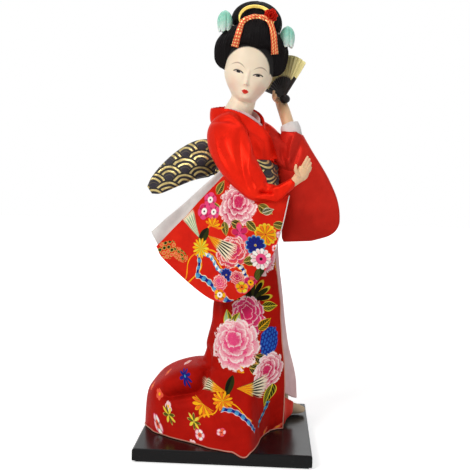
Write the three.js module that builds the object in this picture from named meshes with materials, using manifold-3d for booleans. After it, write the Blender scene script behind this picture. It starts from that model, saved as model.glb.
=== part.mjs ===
// A geisha display doll in a printed red kimono, on a square lacquered board.
// Millimetres, +Z up, +X to the viewer's right, -Y towards the viewer.
// The origin is the middle of the board's underside.

import * as THREE from 'three';
import { mergeVertices } from 'three/addons/utils/BufferGeometryUtils.js';
import Module from 'manifold-3d';

const wasm = await Module();
wasm.setup();

// Clearance between neighbouring pieces, and the cloth
const gap = 0.35;
const clothThickness = 1.2;

// Board and felt
const boardWidth = 116;
const boardDepth = 116;
const boardThickness = 8.2;
const boardBevel = 1.2;
const feltThickness = 0.8;
const feltInset = 2;
const boardTop = feltThickness + boardThickness;

// Where the doll stands on the board, and which way its body faces (degrees to the viewer's right)
const standX = 15;
const standY = 10;
const facing = 50;

// Wires of the legs and arms, and the peg of the neck
const legWire = 3;
const armWire = 2.4;
const wireSides = 6;
const wireInBoard = 6;
const neckPeg = 6;
const pegLength = 26;

// Heights above the board
const waistTop = 185;
const obiWidth = 31;
const skirtTuck = 8;
const skirtTop = waistTop - skirtTuck;
const underSkirtHem = 29;
const coreBottom = 141;
const torsoLength = 32;
const neckHeight = waistTop + torsoLength;

// Collars round the neck
const collarHalfLength = 18.5;
const collarHalfWidth = 13.4;
const collarWidth = 8.5;
const collarThickness = 1.3;
const collarStep = 2.7;
const innerCollarThickness = 0.9;

// Obi: size round the waist, wall and bow
const obiHalfWidth = 21.2;
const obiWall = 2;
const bowReach = 51;
const bowHeight = 27;
const bowDepth = 12;

// Skirt: turn of the open front's two edges, waist size and size at the hem
const frontEdge = -24;
const backEdge = -311;
const waistHalfWidth = 15.5;
const hemHalfWidth = 33;
const lobeTop = 43.5;
const frontFlareTop = 62;
const creaseDepth = 6;
const creaseHeight = 15;
const flapEnd = 14;
const flapFlare = 5;
const foldHeight = 0.9;
const foldCount = 9;

// Sleeves
const sleeveLayers = 2.4;
const liningThickness = 0.8;
const liningShow = 12;
const leftSleeveDrop = 78;

// Head, tilted towards the viewer's right and turned a little
const neckX = 5;
const neckY = 2;
const headTilt = 7;
const headTurn = 4;
const neckRoom = 7.6;
const hairHalfWidth = 24.5;
const forelockHalf = 12.2;
const topknotHalf = 17.4;
const napeHalf = 12.6;
const pinDiameter = 1.2;
const pinLength = 13;
const budWidth = 10.8;
const budHeight = 15.6;
const ribbonWidth = 4.6;
const ribbonThickness = 1.1;
const combThickness = 1.4;
const combRadius = 10.4;
const flowerWidth = 8;

// Fan: turn of its plane, its spread and its sticks
const fanX = 34.5;
const fanY = 15.5;
const fanRise = 15.2;
const fanHeight = neckHeight + fanRise;
const fanTurn = -40;
const fanRadius = 29;
const leafInner = 14.6;
const freeGuardAngle = 52;
const heldGuardAngle = 158;
const stickCount = 6;
const stickWidth = 3;
const stickThickness = 0.4;
const stickPitch = 0.7;
const stickTail = 3.4;
const pleatHeight = 0.9;
const leafThickness = 0.4;
const rivetDiameter = 1.4;

const radians = THREE.MathUtils.degToRad;
const at = (x, y, z) => new THREE.Vector3(x, y, z);
const front = at(Math.sin(radians(facing)), -Math.cos(radians(facing)), 0);
const side = at(-Math.cos(radians(facing)), -Math.sin(radians(facing)), 0);
const up = at(0, 0, 1);
const bell = (x, middle, width) => Math.exp(-(((x - middle) / width) ** 2));
const steps = (from, to, count) =>
  Array.from({ length: count }, (_, i) => from + ((to - from) * i) / (count - 1));

// Smooth values through rows of [place, value, value, ...], held level past both ends
function through(rows, place) {
  const last = rows.length - 1;
  if (place <= rows[0][0]) return rows[0].slice(1);
  if (place >= rows[last][0]) return rows[last].slice(1);
  const k = rows.findIndex((row) => row[0] > place) - 1;
  const span = rows[k + 1][0] - rows[k][0];
  const t = (place - rows[k][0]) / span;
  const slope = (i, c) => {
    const a = rows[Math.max(i - 1, 0)];
    const b = rows[Math.min(i + 1, last)];
    return (b[c] - a[c]) / (b[0] - a[0]);
  };
  return rows[k].slice(1).map((_, i) => {
    const c = i + 1;
    const p = rows[k][c];
    const q = rows[k + 1][c];
    const m = slope(k, c) * span;
    const n = slope(k + 1, c) * span;
    return p + t * (m + t * (3 * (q - p) - 2 * m - n + t * (2 * (p - q) + m + n)));
  });
}

// A solid from points and triangles, turned so that its faces point out
function solidFrom(points, triangles) {
  let volume = 0;
  for (let i = 0; i < triangles.length; i += 3) {
    const [a, b, c] = [points[triangles[i]], points[triangles[i + 1]], points[triangles[i + 2]]];
    volume += a.dot(b.clone().cross(c));
  }
  const turned = volume < 0 ? [...triangles].reverse() : triangles;
  const vertProperties = new Float32Array(points.flatMap((p) => [p.x, p.y, p.z]));
  return new wasm.Manifold(new wasm.Mesh({ numProp: 3, vertProperties, triVerts: new Uint32Array(turned) }));
}

// A solid from a closed three.js geometry
function solidOf(geometry) {
  geometry.deleteAttribute('normal');
  geometry.deleteAttribute('uv');
  const merged = mergeVertices(geometry, 1e-4);
  const place = merged.getAttribute('position');
  const points = Array.from({ length: place.count }, (_, i) => at().fromBufferAttribute(place, i));
  return solidFrom(points, Array.from(merged.index.array));
}

// A closed body through rings of equally many points
function loft(rings) {
  const sides = rings[0].length;
  const points = rings.flat();
  const triangles = [];
  for (let k = 0; k < rings.length - 1; k++) {
    for (let i = 0; i < sides; i++) {
      const j = (i + 1) % sides;
      const a = k * sides;
      const b = a + sides;
      triangles.push(a + i, a + j, b + j, a + i, b + j, b + i);
    }
  }
  const middle = (ring) => ring.reduce((sum, p) => sum.add(p), at(0, 0, 0)).divideScalar(sides);
  const first = points.push(middle(rings[0])) - 1;
  const final = points.push(middle(rings[rings.length - 1])) - 1;
  const start = (rings.length - 1) * sides;
  for (let i = 0; i < sides; i++) {
    const j = (i + 1) % sides;
    triangles.push(first, j, i, final, start + i, start + j);
  }
  return solidFrom(points, triangles);
}

// A closed body between two grids of points, a wall when the columns go right round
function wallBetween(outer, inner, round = false) {
  const rows = outer.length;
  const columns = outer[0].length;
  const points = [...outer.flat(), ...inner.flat()];
  const o = (r, c) => r * columns + (c % columns);
  const n = (r, c) => rows * columns + o(r, c);
  const triangles = [];
  const quad = (a, b, c, d) => triangles.push(a, b, c, a, c, d);
  const ends = round ? columns : columns - 1;
  for (let c = 0; c < ends; c++) {
    for (let r = 0; r < rows - 1; r++) {
      quad(o(r, c), o(r, c + 1), o(r + 1, c + 1), o(r + 1, c));
      quad(n(r, c), n(r + 1, c), n(r + 1, c + 1), n(r, c + 1));
    }
    quad(o(0, c + 1), o(0, c), n(0, c), n(0, c + 1));
    quad(o(rows - 1, c), o(rows - 1, c + 1), n(rows - 1, c + 1), n(rows - 1, c));
  }
  for (let r = 0; r < rows - 1 && !round; r++) {
    quad(o(r, 0), o(r + 1, 0), n(r + 1, 0), n(r, 0));
    quad(o(r + 1, columns - 1), o(r, columns - 1), n(r, columns - 1), n(r + 1, columns - 1));
  }
  return solidFrom(points, triangles);
}

// The same grid moved along its own normals
function moved(grid, depth, round = false) {
  const rows = grid.length;
  const columns = grid[0].length;
  const wrap = (c) => (round ? (c + columns) % columns : Math.min(Math.max(c, 0), columns - 1));
  return grid.map((row, r) =>
    row.map((p, c) => {
      const across = row[wrap(c + 1)].clone().sub(row[wrap(c - 1)]);
      const along = grid[Math.min(r + 1, rows - 1)][c].clone().sub(grid[Math.max(r - 1, 0)][c]);
      return p.clone().addScaledVector(across.cross(along).normalize(), depth);
    }),
  );
}

// An oval ring whose half towards +b may be longer or shorter than its other half
function oval(middle, a, b, halfA, halfFront, halfBack, sides) {
  return steps(0, 2 * Math.PI, sides + 1)
    .slice(0, sides)
    .map((turn) => {
      const reach = Math.sin(turn) > 0 ? halfFront : halfBack;
      const p = middle.clone().addScaledVector(a, halfA * Math.cos(turn));
      return p.addScaledVector(b, reach * Math.sin(turn));
    });
}

// A limb along a curve: rows of [point, half across, half deep]
function limb(rows, across, sides, count) {
  const curve = new THREE.CatmullRomCurve3(rows.map((row) => row[0]));
  const sizes = rows.map((row, i) => [i / (rows.length - 1), row[1], row[2]]);
  return loft(
    steps(0, 1, count).map((t) => {
      const along = curve.getTangent(t);
      const deep = along.clone().cross(across).normalize();
      const wide = deep.clone().cross(along).normalize();
      const [halfWide, halfDeep] = through(sizes, t);
      return oval(curve.getPoint(t), wide, deep, halfWide, halfDeep, halfDeep, sides);
    }),
  );
}

// A round wire along a curve
function wire(points, diameter, lengths = 2 * points.length) {
  const section = new THREE.Shape(
    steps(0, 2 * Math.PI, wireSides + 1)
      .slice(0, wireSides)
      .map((t) => new THREE.Vector2((Math.cos(t) * diameter) / 2, (Math.sin(t) * diameter) / 2)),
  );
  const extrudePath = new THREE.CatmullRomCurve3(points);
  return solidOf(new THREE.ExtrudeGeometry(section, { steps: lengths, extrudePath, bevelEnabled: false }));
}

// An egg-shaped body, pulled out of round by its own half sizes
function egg(middle, halfX, halfY, halfZ, sides = 14, rings = 8) {
  const ball = new THREE.SphereGeometry(1, sides, rings);
  ball.rotateX(Math.PI / 2);
  ball.scale(halfX, halfY, halfZ);
  ball.translate(middle.x, middle.y, middle.z);
  return solidOf(ball);
}

// The same solid with every face moved out by a clearance
function grown(solid, by) {
  const mesh = solid.getMesh();
  const place = mesh.vertProperties;
  const corners = mesh.triVerts;
  const points = Array.from({ length: place.length / 3 }, (_, i) => at().fromArray(place, 3 * i));
  const normals = points.map(() => at(0, 0, 0));
  const faces = [];
  for (let i = 0; i < corners.length; i += 3) {
    const [a, b, c] = [points[corners[i]], points[corners[i + 1]], points[corners[i + 2]]];
    const normal = b.clone().sub(a).cross(c.clone().sub(a));
    faces.push(normal.clone().normalize());
    for (let k = 0; k < 3; k++) normals[corners[i + k]].add(normal);
  }
  normals.forEach((normal) => normal.normalize());
  const lean = points.map(() => 1);
  faces.forEach((face, i) => {
    for (let k = 0; k < 3; k++) {
      const v = corners[3 * i + k];
      lean[v] = Math.min(lean[v], Math.max(normals[v].dot(face), 0.45));
    }
  });
  points.forEach((p, i) => p.addScaledVector(normals[i], by / lean[i]));
  return solidFrom(points, Array.from(corners));
}

// A solid with room cut for its neighbours, without the crumbs that a cut leaves
function fitted(solid, ...neighbours) {
  const left = neighbours.reduce((rest, other) => rest.subtract(grown(other, gap)), solid);
  return left.decompose().sort((a, b) => b.volume() - a.volume())[0];
}

// A named mesh with its own material
function piece(group, name, solid, color, roughness, metalness = 0) {
  const mesh = solid.getMesh();
  const geometry = new THREE.BufferGeometry();
  geometry.setAttribute('position', new THREE.BufferAttribute(new Float32Array(mesh.vertProperties), 3));
  geometry.setIndex(new THREE.BufferAttribute(new Uint32Array(mesh.triVerts), 1));
  geometry.computeVertexNormals();
  const built = new THREE.Mesh(geometry, new THREE.MeshStandardMaterial({ color, roughness, metalness }));
  built.name = name;
  group.add(built);
}

const doll = new THREE.Group();
const figure = new THREE.Group();
figure.position.z = boardTop;
doll.add(figure);

// Colours from the photograph
const red = 0xd8301f;
const deepRed = 0xa81f18;
const porcelain = 0xefdcc3;
const black = 0x0d0b0c;
const lining = 0xd8d3d1;
const goldCloth = 0x6b5c34;

// Body line: [height, x, y] of the middle
const bodyLine = [
  [0, standX, standY],
  [coreBottom, standX, standY - 3],
  [waistTop - 14, standX - 2, standY - 3],
  [waistTop + 11, standX - 5, standY - 4],
  [neckHeight, neckX, neckY],
];
const bodyAt = (height) => {
  const [x, y] = through(bodyLine, height);
  return at(x, y, height);
};

// Torso sizes: [height, half to the side, half to the front and back]
const torso = [
  [waistTop - 8, 17.4, 15.4],
  [waistTop + 4, 18.6, 16.4],
  [neckHeight - 17, 20.6, 16.6],
  [neckHeight - 9, 21.2, 14.2],
  [neckHeight - 3, 18.4, 11.2],
  [neckHeight + 1.5, 12.2, 9.2],
];
const torsoRing = (height, inset, sides = 20) => {
  const [halfSide, halfFront] = through(torso, height);
  return oval(bodyAt(height), side, front, halfSide - inset, halfFront - inset, halfFront - inset, sides);
};

// Skirt sizes without the train: [height, half across, half deep]
const skirt = [
  [0, hemHalfWidth, hemHalfWidth - 4],
  [45, hemHalfWidth - 3, hemHalfWidth - 7.5],
  [76, hemHalfWidth - 7.5, hemHalfWidth - 11],
  [98, hemHalfWidth - 10, hemHalfWidth - 13],
  [125, waistHalfWidth + 4, waistHalfWidth + 2],
  [141, waistHalfWidth + 3, waistHalfWidth + 1.5],
  [155, waistHalfWidth + 1, waistHalfWidth],
  [skirtTop, waistHalfWidth, waistHalfWidth - 1],
];

// Hem of the train: [turn in degrees, reach on the board, share of the high rounded lobe]
const hem = [
  [backEdge, 31, 0],
  [-302, 32, 0],
  [-270, 36, 0.1],
  [-240, 48, 0.4],
  [-212, 66, 0.9],
  [-188, 74, 1],
  [-164, 71, 0.95],
  [-140, 68, 0.5],
  [-116, 67, 0.12],
  [-97, 68, 0],
  [-90, 67.4, 0],
  [-85, 57, 0],
  [-76, 42, 0],
  [-60, 32, 0],
  [frontEdge, 29, 0],
];

// Distance of the plain skirt, without its train, from the body line at a turn and a height
function columnReach(turn, height) {
  const [halfX, halfY] = through(skirt, height);
  const angle = radians(turn);
  return 1 / Math.hypot(Math.cos(angle) / halfX, Math.sin(angle) / halfY);
}

// Distance of the skirt's cloth from the body line, with the train, its crease and the folds
function skirtReach(turn, height) {
  const [reach, lobe] = through(hem, turn);
  const round = Math.sqrt(Math.max(0, 1 - Math.min(height / lobeTop, 1) ** 2));
  const sweep = Math.max(0, 1 - height / frontFlareTop) ** 2.4;
  const flare = lobe * round + (1 - lobe) * sweep;
  const crease = creaseDepth * bell(height, creaseHeight, 5) * bell(turn, -158, 30);
  const folds = foldHeight * Math.sin(radians(turn) * foldCount + height * 0.03) * (1 - height / skirtTop);
  return columnReach(turn, height) + (reach - hemHalfWidth) * flare - crease + folds;
}

// A point of a skirt layer: a reach from the body line at a turn and a height
function around(turn, height, reach) {
  const middle = bodyAt(height);
  const angle = radians(turn);
  return middle.add(at(reach * Math.cos(angle), reach * Math.sin(angle), 0));
}
const skirtPoint = (turn, height, inset = 0) => around(turn, height, skirtReach(turn, height) - inset);

// Board with a felt underneath
const plate = (width, depth, thickness, bevel) => {
  const x = width / 2 - bevel;
  const y = depth / 2 - bevel;
  const outline = new THREE.Shape([[-x, -y], [x, -y], [x, y], [-x, y]].map((p) => new THREE.Vector2(...p)));
  const settings = { depth: thickness - 2 * bevel, bevelEnabled: bevel > 0, bevelSegments: 2 };
  const shape = new THREE.ExtrudeGeometry(outline, { ...settings, bevelThickness: bevel, bevelSize: bevel });
  return shape.translate(0, 0, bevel);
};
const felt = solidOf(plate(boardWidth - 2 * feltInset, boardDepth - 2 * feltInset, feltThickness, 0));
piece(doll, 'base_felt', felt, 0x2a2826, 0.95);

// Wires that carry the body: down through the feet into the board
const leftAnkle = at(standX + 25, standY + 17, 0);
const rightAnkle = at(standX - 2, standY - 6, 0);
const legLeft = wire(
  [
    leftAnkle.clone().setZ(-wireInBoard),
    leftAnkle.clone().setZ(10),
    leftAnkle.clone().setZ(24),
    at(standX + 16, standY + 7, 70),
    at(standX + 7, standY - 1, coreBottom - 6),
    at(standX + 5, standY - 2, coreBottom + 22),
  ],
  legWire,
);
const legRight = wire(
  [
    rightAnkle.clone().setZ(-wireInBoard),
    rightAnkle.clone().setZ(10),
    rightAnkle.clone().setZ(24),
    at(standX - 3, standY - 5, 70),
    at(standX - 4, standY - 4, coreBottom - 6),
    at(standX - 4, standY - 4, coreBottom + 22),
  ],
  legWire,
);
piece(figure, 'leg_wire_left', legLeft, 0x8a8a88, 0.4, 1);
piece(figure, 'leg_wire_right', legRight, 0x8a8a88, 0.4, 1);

const boardPlate = plate(boardWidth, boardDepth, boardThickness, boardBevel);
const boardSolid = solidOf(boardPlate.translate(0, 0, -boardThickness));
piece(figure, 'base_board', fitted(boardSolid, legLeft, legRight), 0x121214, 0.22);

// Arm wires, through the shoulders to the wrists
const rightWrist = at(40.1, -40, waistTop - 12.6);
const leftWrist = at(32.2, 25, neckHeight + 16.5);
const cuffMiddle = at(40.5, 11, neckHeight - 7);
const armRight = wire(
  [
    at(neckX + 3, neckY - 3, neckHeight - 15),
    at(-3, -10, neckHeight - 13),
    at(4.3, -25, waistTop),
    at(21, -33.5, waistTop - 25),
    at(31.4, -37, waistTop - 21),
    rightWrist,
    rightWrist.clone().add(at(3.4, -1.2, 3.2)),
  ],
  armWire,
);
const armLeft = wire(
  [
    at(neckX + 8, neckY + 5, neckHeight - 16),
    at(neckX + 19, neckY + 9, neckHeight - 15),
    at(39, 11, waistTop + 3),
    at(46, 10, waistTop - 5),
    at(49, 9, waistTop + 4),
    at(46, 9.4, waistTop + 15),
    cuffMiddle,
    at(37, 15.5, neckHeight + 4),
  ],
  armWire,
);
piece(figure, 'arm_wire_right', armRight, 0x8a8a88, 0.4, 1);
piece(figure, 'arm_wire_left', armLeft, 0x8a8a88, 0.4, 1);

// Neck peg, standing in the torso and the head along the tilted neck
const neckAxis = at(Math.sin(radians(headTilt)), 0, Math.cos(radians(headTilt)));
const neckBase = at(neckX, neckY, neckHeight);
const peg = wire(
  [-0.6, -0.2, 0.4].map((share) => neckBase.clone().addScaledVector(neckAxis, pegLength * share)),
  neckPeg,
  2,
);
piece(figure, 'neck_peg', peg, 0xb48a5a, 0.7);

// Padded torso inside the clothes
const coreTop = neckHeight - 5;
const coreRing = (height) => {
  const inset = clothThickness + 2 * gap + 1;
  if (height > waistTop - 6) return torsoRing(height, inset, 14);
  const narrow = through(skirt, height)[1] - clothThickness - 4;
  return oval(bodyAt(height), side, front, narrow, narrow - 1, narrow - 1, 14);
};
const core = fitted(
  loft([coreBottom, 160, waistTop - 4, waistTop + 10, waistTop + 22, coreTop].map(coreRing)),
  legLeft,
  legRight,
  armLeft,
  armRight,
  peg,
);
piece(figure, 'torso_core', core, 0xd9cdb4, 0.9);

// Feet in tabi socks, skewered by the leg wires
function foot(ankle, along) {
  const heel = ankle.clone().addScaledVector(along, -6).setZ(6);
  const middle = ankle.clone().addScaledVector(along, 4).setZ(5.2);
  const ball = ankle.clone().addScaledVector(along, 11).setZ(4.2);
  const toe = ankle.clone().addScaledVector(along, 16.5).setZ(3.4);
  const across = along.clone().cross(up);
  const sole = limb([[heel, 3.2, 3.4], [middle, 4.6, 4.4], [ball, 4.9, 3.6], [toe, 2.4, 1.8]], across, 8, 6);
  const shinRows = [[3.5, 4, 4.4], [14, 3.6, 3.9], [27, 4.2, 4.4]];
  const shin = limb(
    shinRows.map(([height, wide, deep]) => [ankle.clone().setZ(height), wide, deep]),
    across,
    8,
    4,
  );
  return sole.add(shin);
}
const leftFoot = fitted(foot(leftAnkle, at(0.97, 0.22, 0).normalize()), legLeft, boardSolid);
const rightFoot = fitted(foot(rightAnkle, front), legRight, boardSolid);
piece(figure, 'left_foot', leftFoot, 0xdcc6a6, 0.55);
piece(figure, 'right_foot', rightFoot, 0xdcc6a6, 0.55);

// Kimono skirt: one sheet wrapped round from its front edge to the far edge, spreading into the train
const skirtRows = [skirtTop, 150, 120, 92, 70, 54, lobeTop, 42.3, 39, 33, 26, 19, 12, 5, gap];
const skirtTurns = steps(frontEdge, backEdge, 32);
const skirtOuter = skirtRows.map((height) => skirtTurns.map((turn) => skirtPoint(turn, height)));
const onBoard = (p) => p.setZ(Math.max(p.z, gap));
const skirtInner = moved(skirtOuter, clothThickness).map((row) => row.map(onBoard));
const kimonoSkirt = wallBetween(skirtOuter, skirtInner);

// Lining turned out beside the foot
const flapTurns = steps(frontEdge - 12, flapEnd, 8);
const flapHeights = steps(underSkirtHem - 1, gap, 6);
const flapTuck = (turn) => 2.4 - flapFlare * Math.max(0, (turn - frontEdge) / (flapEnd - frontEdge));
const flapGrid = (inset) =>
  flapHeights.map((h) => flapTurns.map((turn) => skirtPoint(turn, h, flapTuck(turn) + inset)));
const flap = fitted(wallBetween(flapGrid(0), flapGrid(clothThickness)), kimonoSkirt, leftFoot, legLeft);
piece(figure, 'lining_flap', flap, deepRed, 0.5);

// Under-kimono over its padding
const underInset = clothThickness + foldHeight + gap;
const underRows = [skirtTop - 1, 150, 120, 76, 54, underSkirtHem];
const underRing = (height) =>
  steps(backEdge, backEdge + 360, 21)
    .slice(1)
    .map((turn) => {
      const inside = turn > frontEdge ? columnReach(turn, height) : skirtReach(turn, height) - underInset;
      return around(turn, height, Math.min(inside, columnReach(turn, height)) - gap);
    });
const underSkirt = fitted(loft(underRows.map(underRing)), core, legLeft, legRight, kimonoSkirt, flap, leftFoot);
piece(figure, 'under_skirt', underSkirt, 0xbda0a0, 0.6);
piece(figure, 'kimono_skirt', kimonoSkirt, red, 0.45);

// Wadding that holds the train's shape, inside the cloth on all sides
const waddingInset = clothThickness + 2 * gap;
const waddingRows = [lobeTop - waddingInset, 37, 30, 22, 12, gap];
const waddingTurns = steps(frontEdge - 20, backEdge + 4, 18);
const waddingReach = (turn, height) => {
  const near = [-waddingInset, 0, waddingInset].map((lift) => skirtReach(turn, Math.max(height + lift, 0)));
  return Math.min(...near) - waddingInset;
};
const waddingRing = (height) => [
  ...waddingTurns.map((turn) => around(turn, height, waddingReach(turn, height))),
  at(standX + 12, standY + 8, height),
  at(standX + 12, standY - 6, height),
];
const wadding = fitted(
  loft(waddingRows.map(waddingRing)),
  kimonoSkirt,
  underSkirt,
  flap,
  leftFoot,
  rightFoot,
  legLeft,
  legRight,
);
piece(figure, 'train_wadding', wadding, 0xe4ddcc, 0.95);

// Bodice over the torso
const bodiceRows = [...[-7, 2, 10, 17, 23, 28].map((above) => waistTop + above), neckHeight];
const bodice = fitted(
  wallBetween(
    bodiceRows.map((h) => torsoRing(h, 0)),
    bodiceRows.map((h) => torsoRing(h, clothThickness)),
    true,
  ),
  core,
  armLeft,
  armRight,
  kimonoSkirt,
);
const bodiceBody = loft(bodiceRows.map((h) => torsoRing(h, 0)));
piece(figure, 'bodice', bodice, red, 0.4);

// Collars: bands from the crossing at the chest, round the set-back nape and to the chest again
const nape = neckBase.clone().addScaledVector(front, -2);
function collarBand(halfAlong, halfAcross, width, low, thickness, dip) {
  const turns = steps(radians(-168), radians(168), 26);
  const place = (turn, w) => {
    const back = (1 + Math.cos(turn)) / 2;
    const spread = 1 + 0.16 * w;
    const p = nape.clone().addScaledVector(front, -halfAlong * Math.cos(turn) * spread);
    p.addScaledVector(side, halfAcross * Math.sin(turn) * spread);
    return p.setZ(neckHeight + low - dip * (1 - back) ** 1.6 - width * w);
  };
  const grid = [0, 0.5, 1].map((w) => turns.map((turn) => place(turn, w)));
  return wallBetween(grid, moved(grid, thickness));
}
const neckBody = loft(
  [-8, 30].map((h) => {
    const middle = neckBase.clone().addScaledVector(neckAxis, h);
    return oval(middle, at(1, 0, 0), at(0, 1, 0), neckRoom, neckRoom, neckRoom + 1, 16);
  }),
);
const collarOuter = fitted(
  collarBand(collarHalfLength, collarHalfWidth, collarWidth, 7, collarThickness, 13),
  bodiceBody,
  neckBody,
);
piece(figure, 'collar_outer', collarOuter, red, 0.4);
const innerBand = collarBand(
  collarHalfLength - collarStep,
  collarHalfWidth - 0.8 * collarStep,
  collarWidth - 1.5,
  6.4,
  innerCollarThickness,
  11.5,
);
const collarInner = fitted(innerBand, bodiceBody, neckBody, collarOuter);
piece(figure, 'collar_inner', collarInner, 0xf0dcdc, 0.5);

// Obi round the waist
const obiRows = [waistTop, waistTop - obiWidth / 2, waistTop - obiWidth];
const obiRing = (height, inset) => {
  const halfFront = obiHalfWidth - 2.2 - inset;
  return oval(bodyAt(height), side, front, obiHalfWidth - inset, halfFront, halfFront, 24);
};
const obi = fitted(
  wallBetween(
    obiRows.map((h) => obiRing(h, 0)),
    obiRows.map((h) => obiRing(h, obiWall)),
    true,
  ),
  bodice,
  kimonoSkirt,
);
const obiBody = loft(obiRows.map((h) => obiRing(h, 0)));
piece(figure, 'obi', obi, goldCloth, 0.4, 0.3);

// Bow at the back: a knot, two drooping wings and a short tail
const knotMiddle = bodyAt(waistTop).addScaledVector(front, -24.5).setZ(waistTop + 1);
const knotRows = [[-11, 6], [-6, 8], [0, 8.4], [6, 8], [11, 6]];
const knot = fitted(
  limb(
    knotRows.map(([h, half]) => [knotMiddle.clone().add(at(0, 0, h)), half - 1, half]),
    side,
    12,
    6,
  ),
  obiBody,
  bodiceBody,
);
piece(figure, 'obi_knot', knot, goldCloth, 0.4, 0.3);

// A wing along its own direction: [share of the reach, drop, half height, half depth]
const wingRows = [
  [0.04, 0, 0.4, 0.5],
  [0.22, 0.4, 0.5, 0.9],
  [0.45, 5, 0.46, 1],
  [0.7, 13, 0.37, 0.8],
  [0.9, 20.5, 0.25, 0.5],
  [1, 24, 0.12, 0.2],
];
function wing(direction) {
  const start = knotMiddle.clone().addScaledVector(direction, 3.5);
  const rows = wingRows.map(([share, drop, tall, deep]) => [
    start.clone().addScaledVector(direction, bowReach * share).add(at(0, 0, 3 - drop)),
    tall * bowHeight,
    (deep * bowDepth) / 2,
  ]);
  return limb(rows, up, 14, 10);
}
const nearWing = at(-0.992, -0.06, 0).normalize();
const farWing = nearWing.clone().addScaledVector(side, -2 * nearWing.dot(side));
const wingRight = fitted(wing(nearWing), knot, obiBody, bodiceBody);
const wingLeft = fitted(wing(farWing), knot, obiBody, bodiceBody, wingRight);
piece(figure, 'obi_wing_right', wingRight, goldCloth, 0.4, 0.3);
piece(figure, 'obi_wing_left', wingLeft, goldCloth, 0.4, 0.3);
const tailTop = knotMiddle.clone().addScaledVector(front, -2);
const tail = fitted(
  limb(
    [[0, 6, 1.6], [-16, 9, 1.8], [-30, 10, 1.6], [-44, 9.5, 1.4]].map(([h, wide, deep]) => [
      tailTop.clone().addScaledVector(front, h * 0.06).add(at(0, 0, h)),
      wide,
      deep,
    ]),
    side,
    10,
    6,
  ),
  knot,
  wingRight,
  wingLeft,
  obiBody,
  kimonoSkirt,
);
piece(figure, 'obi_tail', tail, goldCloth, 0.4, 0.3);

// Right sleeve: a full upper part down to the elbow, then along the forearm to the wrist
const rightSleeve = fitted(
  limb(
    [
      [at(-4, -7, neckHeight - 7), 8, 7],
      [at(-3.4, -13, neckHeight - 10), 11.4, 9.4],
      [at(-1, -20, waistTop + 13), 13, 10],
      [at(4.3, -26, waistTop), 12.2, 9.4],
      [at(12.9, -31, waistTop - 16), 10.6, 8.2],
      [at(21, -33.6, waistTop - 25), 8.6, 7],
      [at(31.4, -37, waistTop - 21), 7.2, 6],
      [rightWrist.clone().add(at(-1, 0.4, -1)), 5.6, 4.8],
    ],
    at(0, 1, 0.2).cross(at(0.4, -0.4, -0.8)).normalize(),
    14,
    11,
  ),
  bodiceBody,
  obiBody,
  collarOuter,
  armRight,
);
piece(figure, 'right_sleeve', rightSleeve, red, 0.35);

// Hanging part of the right sleeve: a patch between four edges
const below = (x, y, drop) => at(x, y, waistTop - drop);
const topEdge = [below(39, -38.4, 20), below(26.5, -37, 25), below(14, -31.5, 21), below(6, -22, 7)];
const frontSide = [topEdge[0], below(35.4, -36.6, 39), below(31.1, -34, 56)];
const lowEdge = [
  frontSide[2],
  below(22.3, -30, 73.4),
  below(8, -27, 89.4),
  below(-11, -20, 92.2),
  below(-46.4, -2, 69.9),
  below(-53.6, 2.6, 59.5),
];
const openSide = [topEdge[3], below(-24, -7, 37), lowEdge[5]];
const curves = [topEdge, frontSide, lowEdge, openSide].map((points) => new THREE.CatmullRomCurve3(points));
function panelPoint(u, v) {
  const [top, left, low, right] = curves;
  const mix = (p, q, t) => p.clone().lerp(q, t);
  const rule = mix(top.getPoint(u), low.getPoint(u), v).add(mix(left.getPoint(v), right.getPoint(v), u));
  const corners = mix(mix(topEdge[0], topEdge[3], u), mix(lowEdge[0], lowEdge[5], u), v);
  const p = rule.sub(corners);
  const folds = 1.5 * v * Math.sin(u * 12 + 0.6) + 2.2 * Math.sin(Math.PI * u) * Math.sin(Math.PI * v);
  return p.add(at(-0.35, -0.94, 0).multiplyScalar(folds));
}
const panelGrid = steps(0, 1, 9).map((v) => steps(0, 1, 15).map((u) => panelPoint(u, v)));
const hand = rightHand();
const panelSolid = wallBetween(panelGrid, moved(panelGrid, sleeveLayers));
const rightPanel = fitted(panelSolid, rightSleeve, armRight, hand, obiBody);
piece(figure, 'right_sleeve_panel', rightPanel, red, 0.4);
piece(figure, 'right_hand', hand, 0xf2d0a4, 0.5);

// Pale lining that shows along the sleeve's open side
const liningGrid = steps(0, 1, 9).map((v) =>
  steps(-1, 1, 5).map((w) => {
    const p = panelPoint(1 - 0.3 * Math.max(-w, 0), v);
    const show = liningShow * Math.max(w, 0) * Math.sin(Math.PI * (0.25 + 0.75 * v)) ** 0.5;
    const out = at(-0.55, 0.1, 0.82).multiplyScalar(show);
    return p.add(out).add(at(0.3, 0.94, 0).multiplyScalar(sleeveLayers + gap + 0.5));
  }),
);
const sleeveLining = fitted(
  wallBetween(liningGrid, moved(liningGrid, liningThickness)),
  rightPanel,
  rightSleeve,
  obiBody,
  kimonoSkirt,
);
piece(figure, 'right_sleeve_lining', sleeveLining, lining, 0.6);

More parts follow.
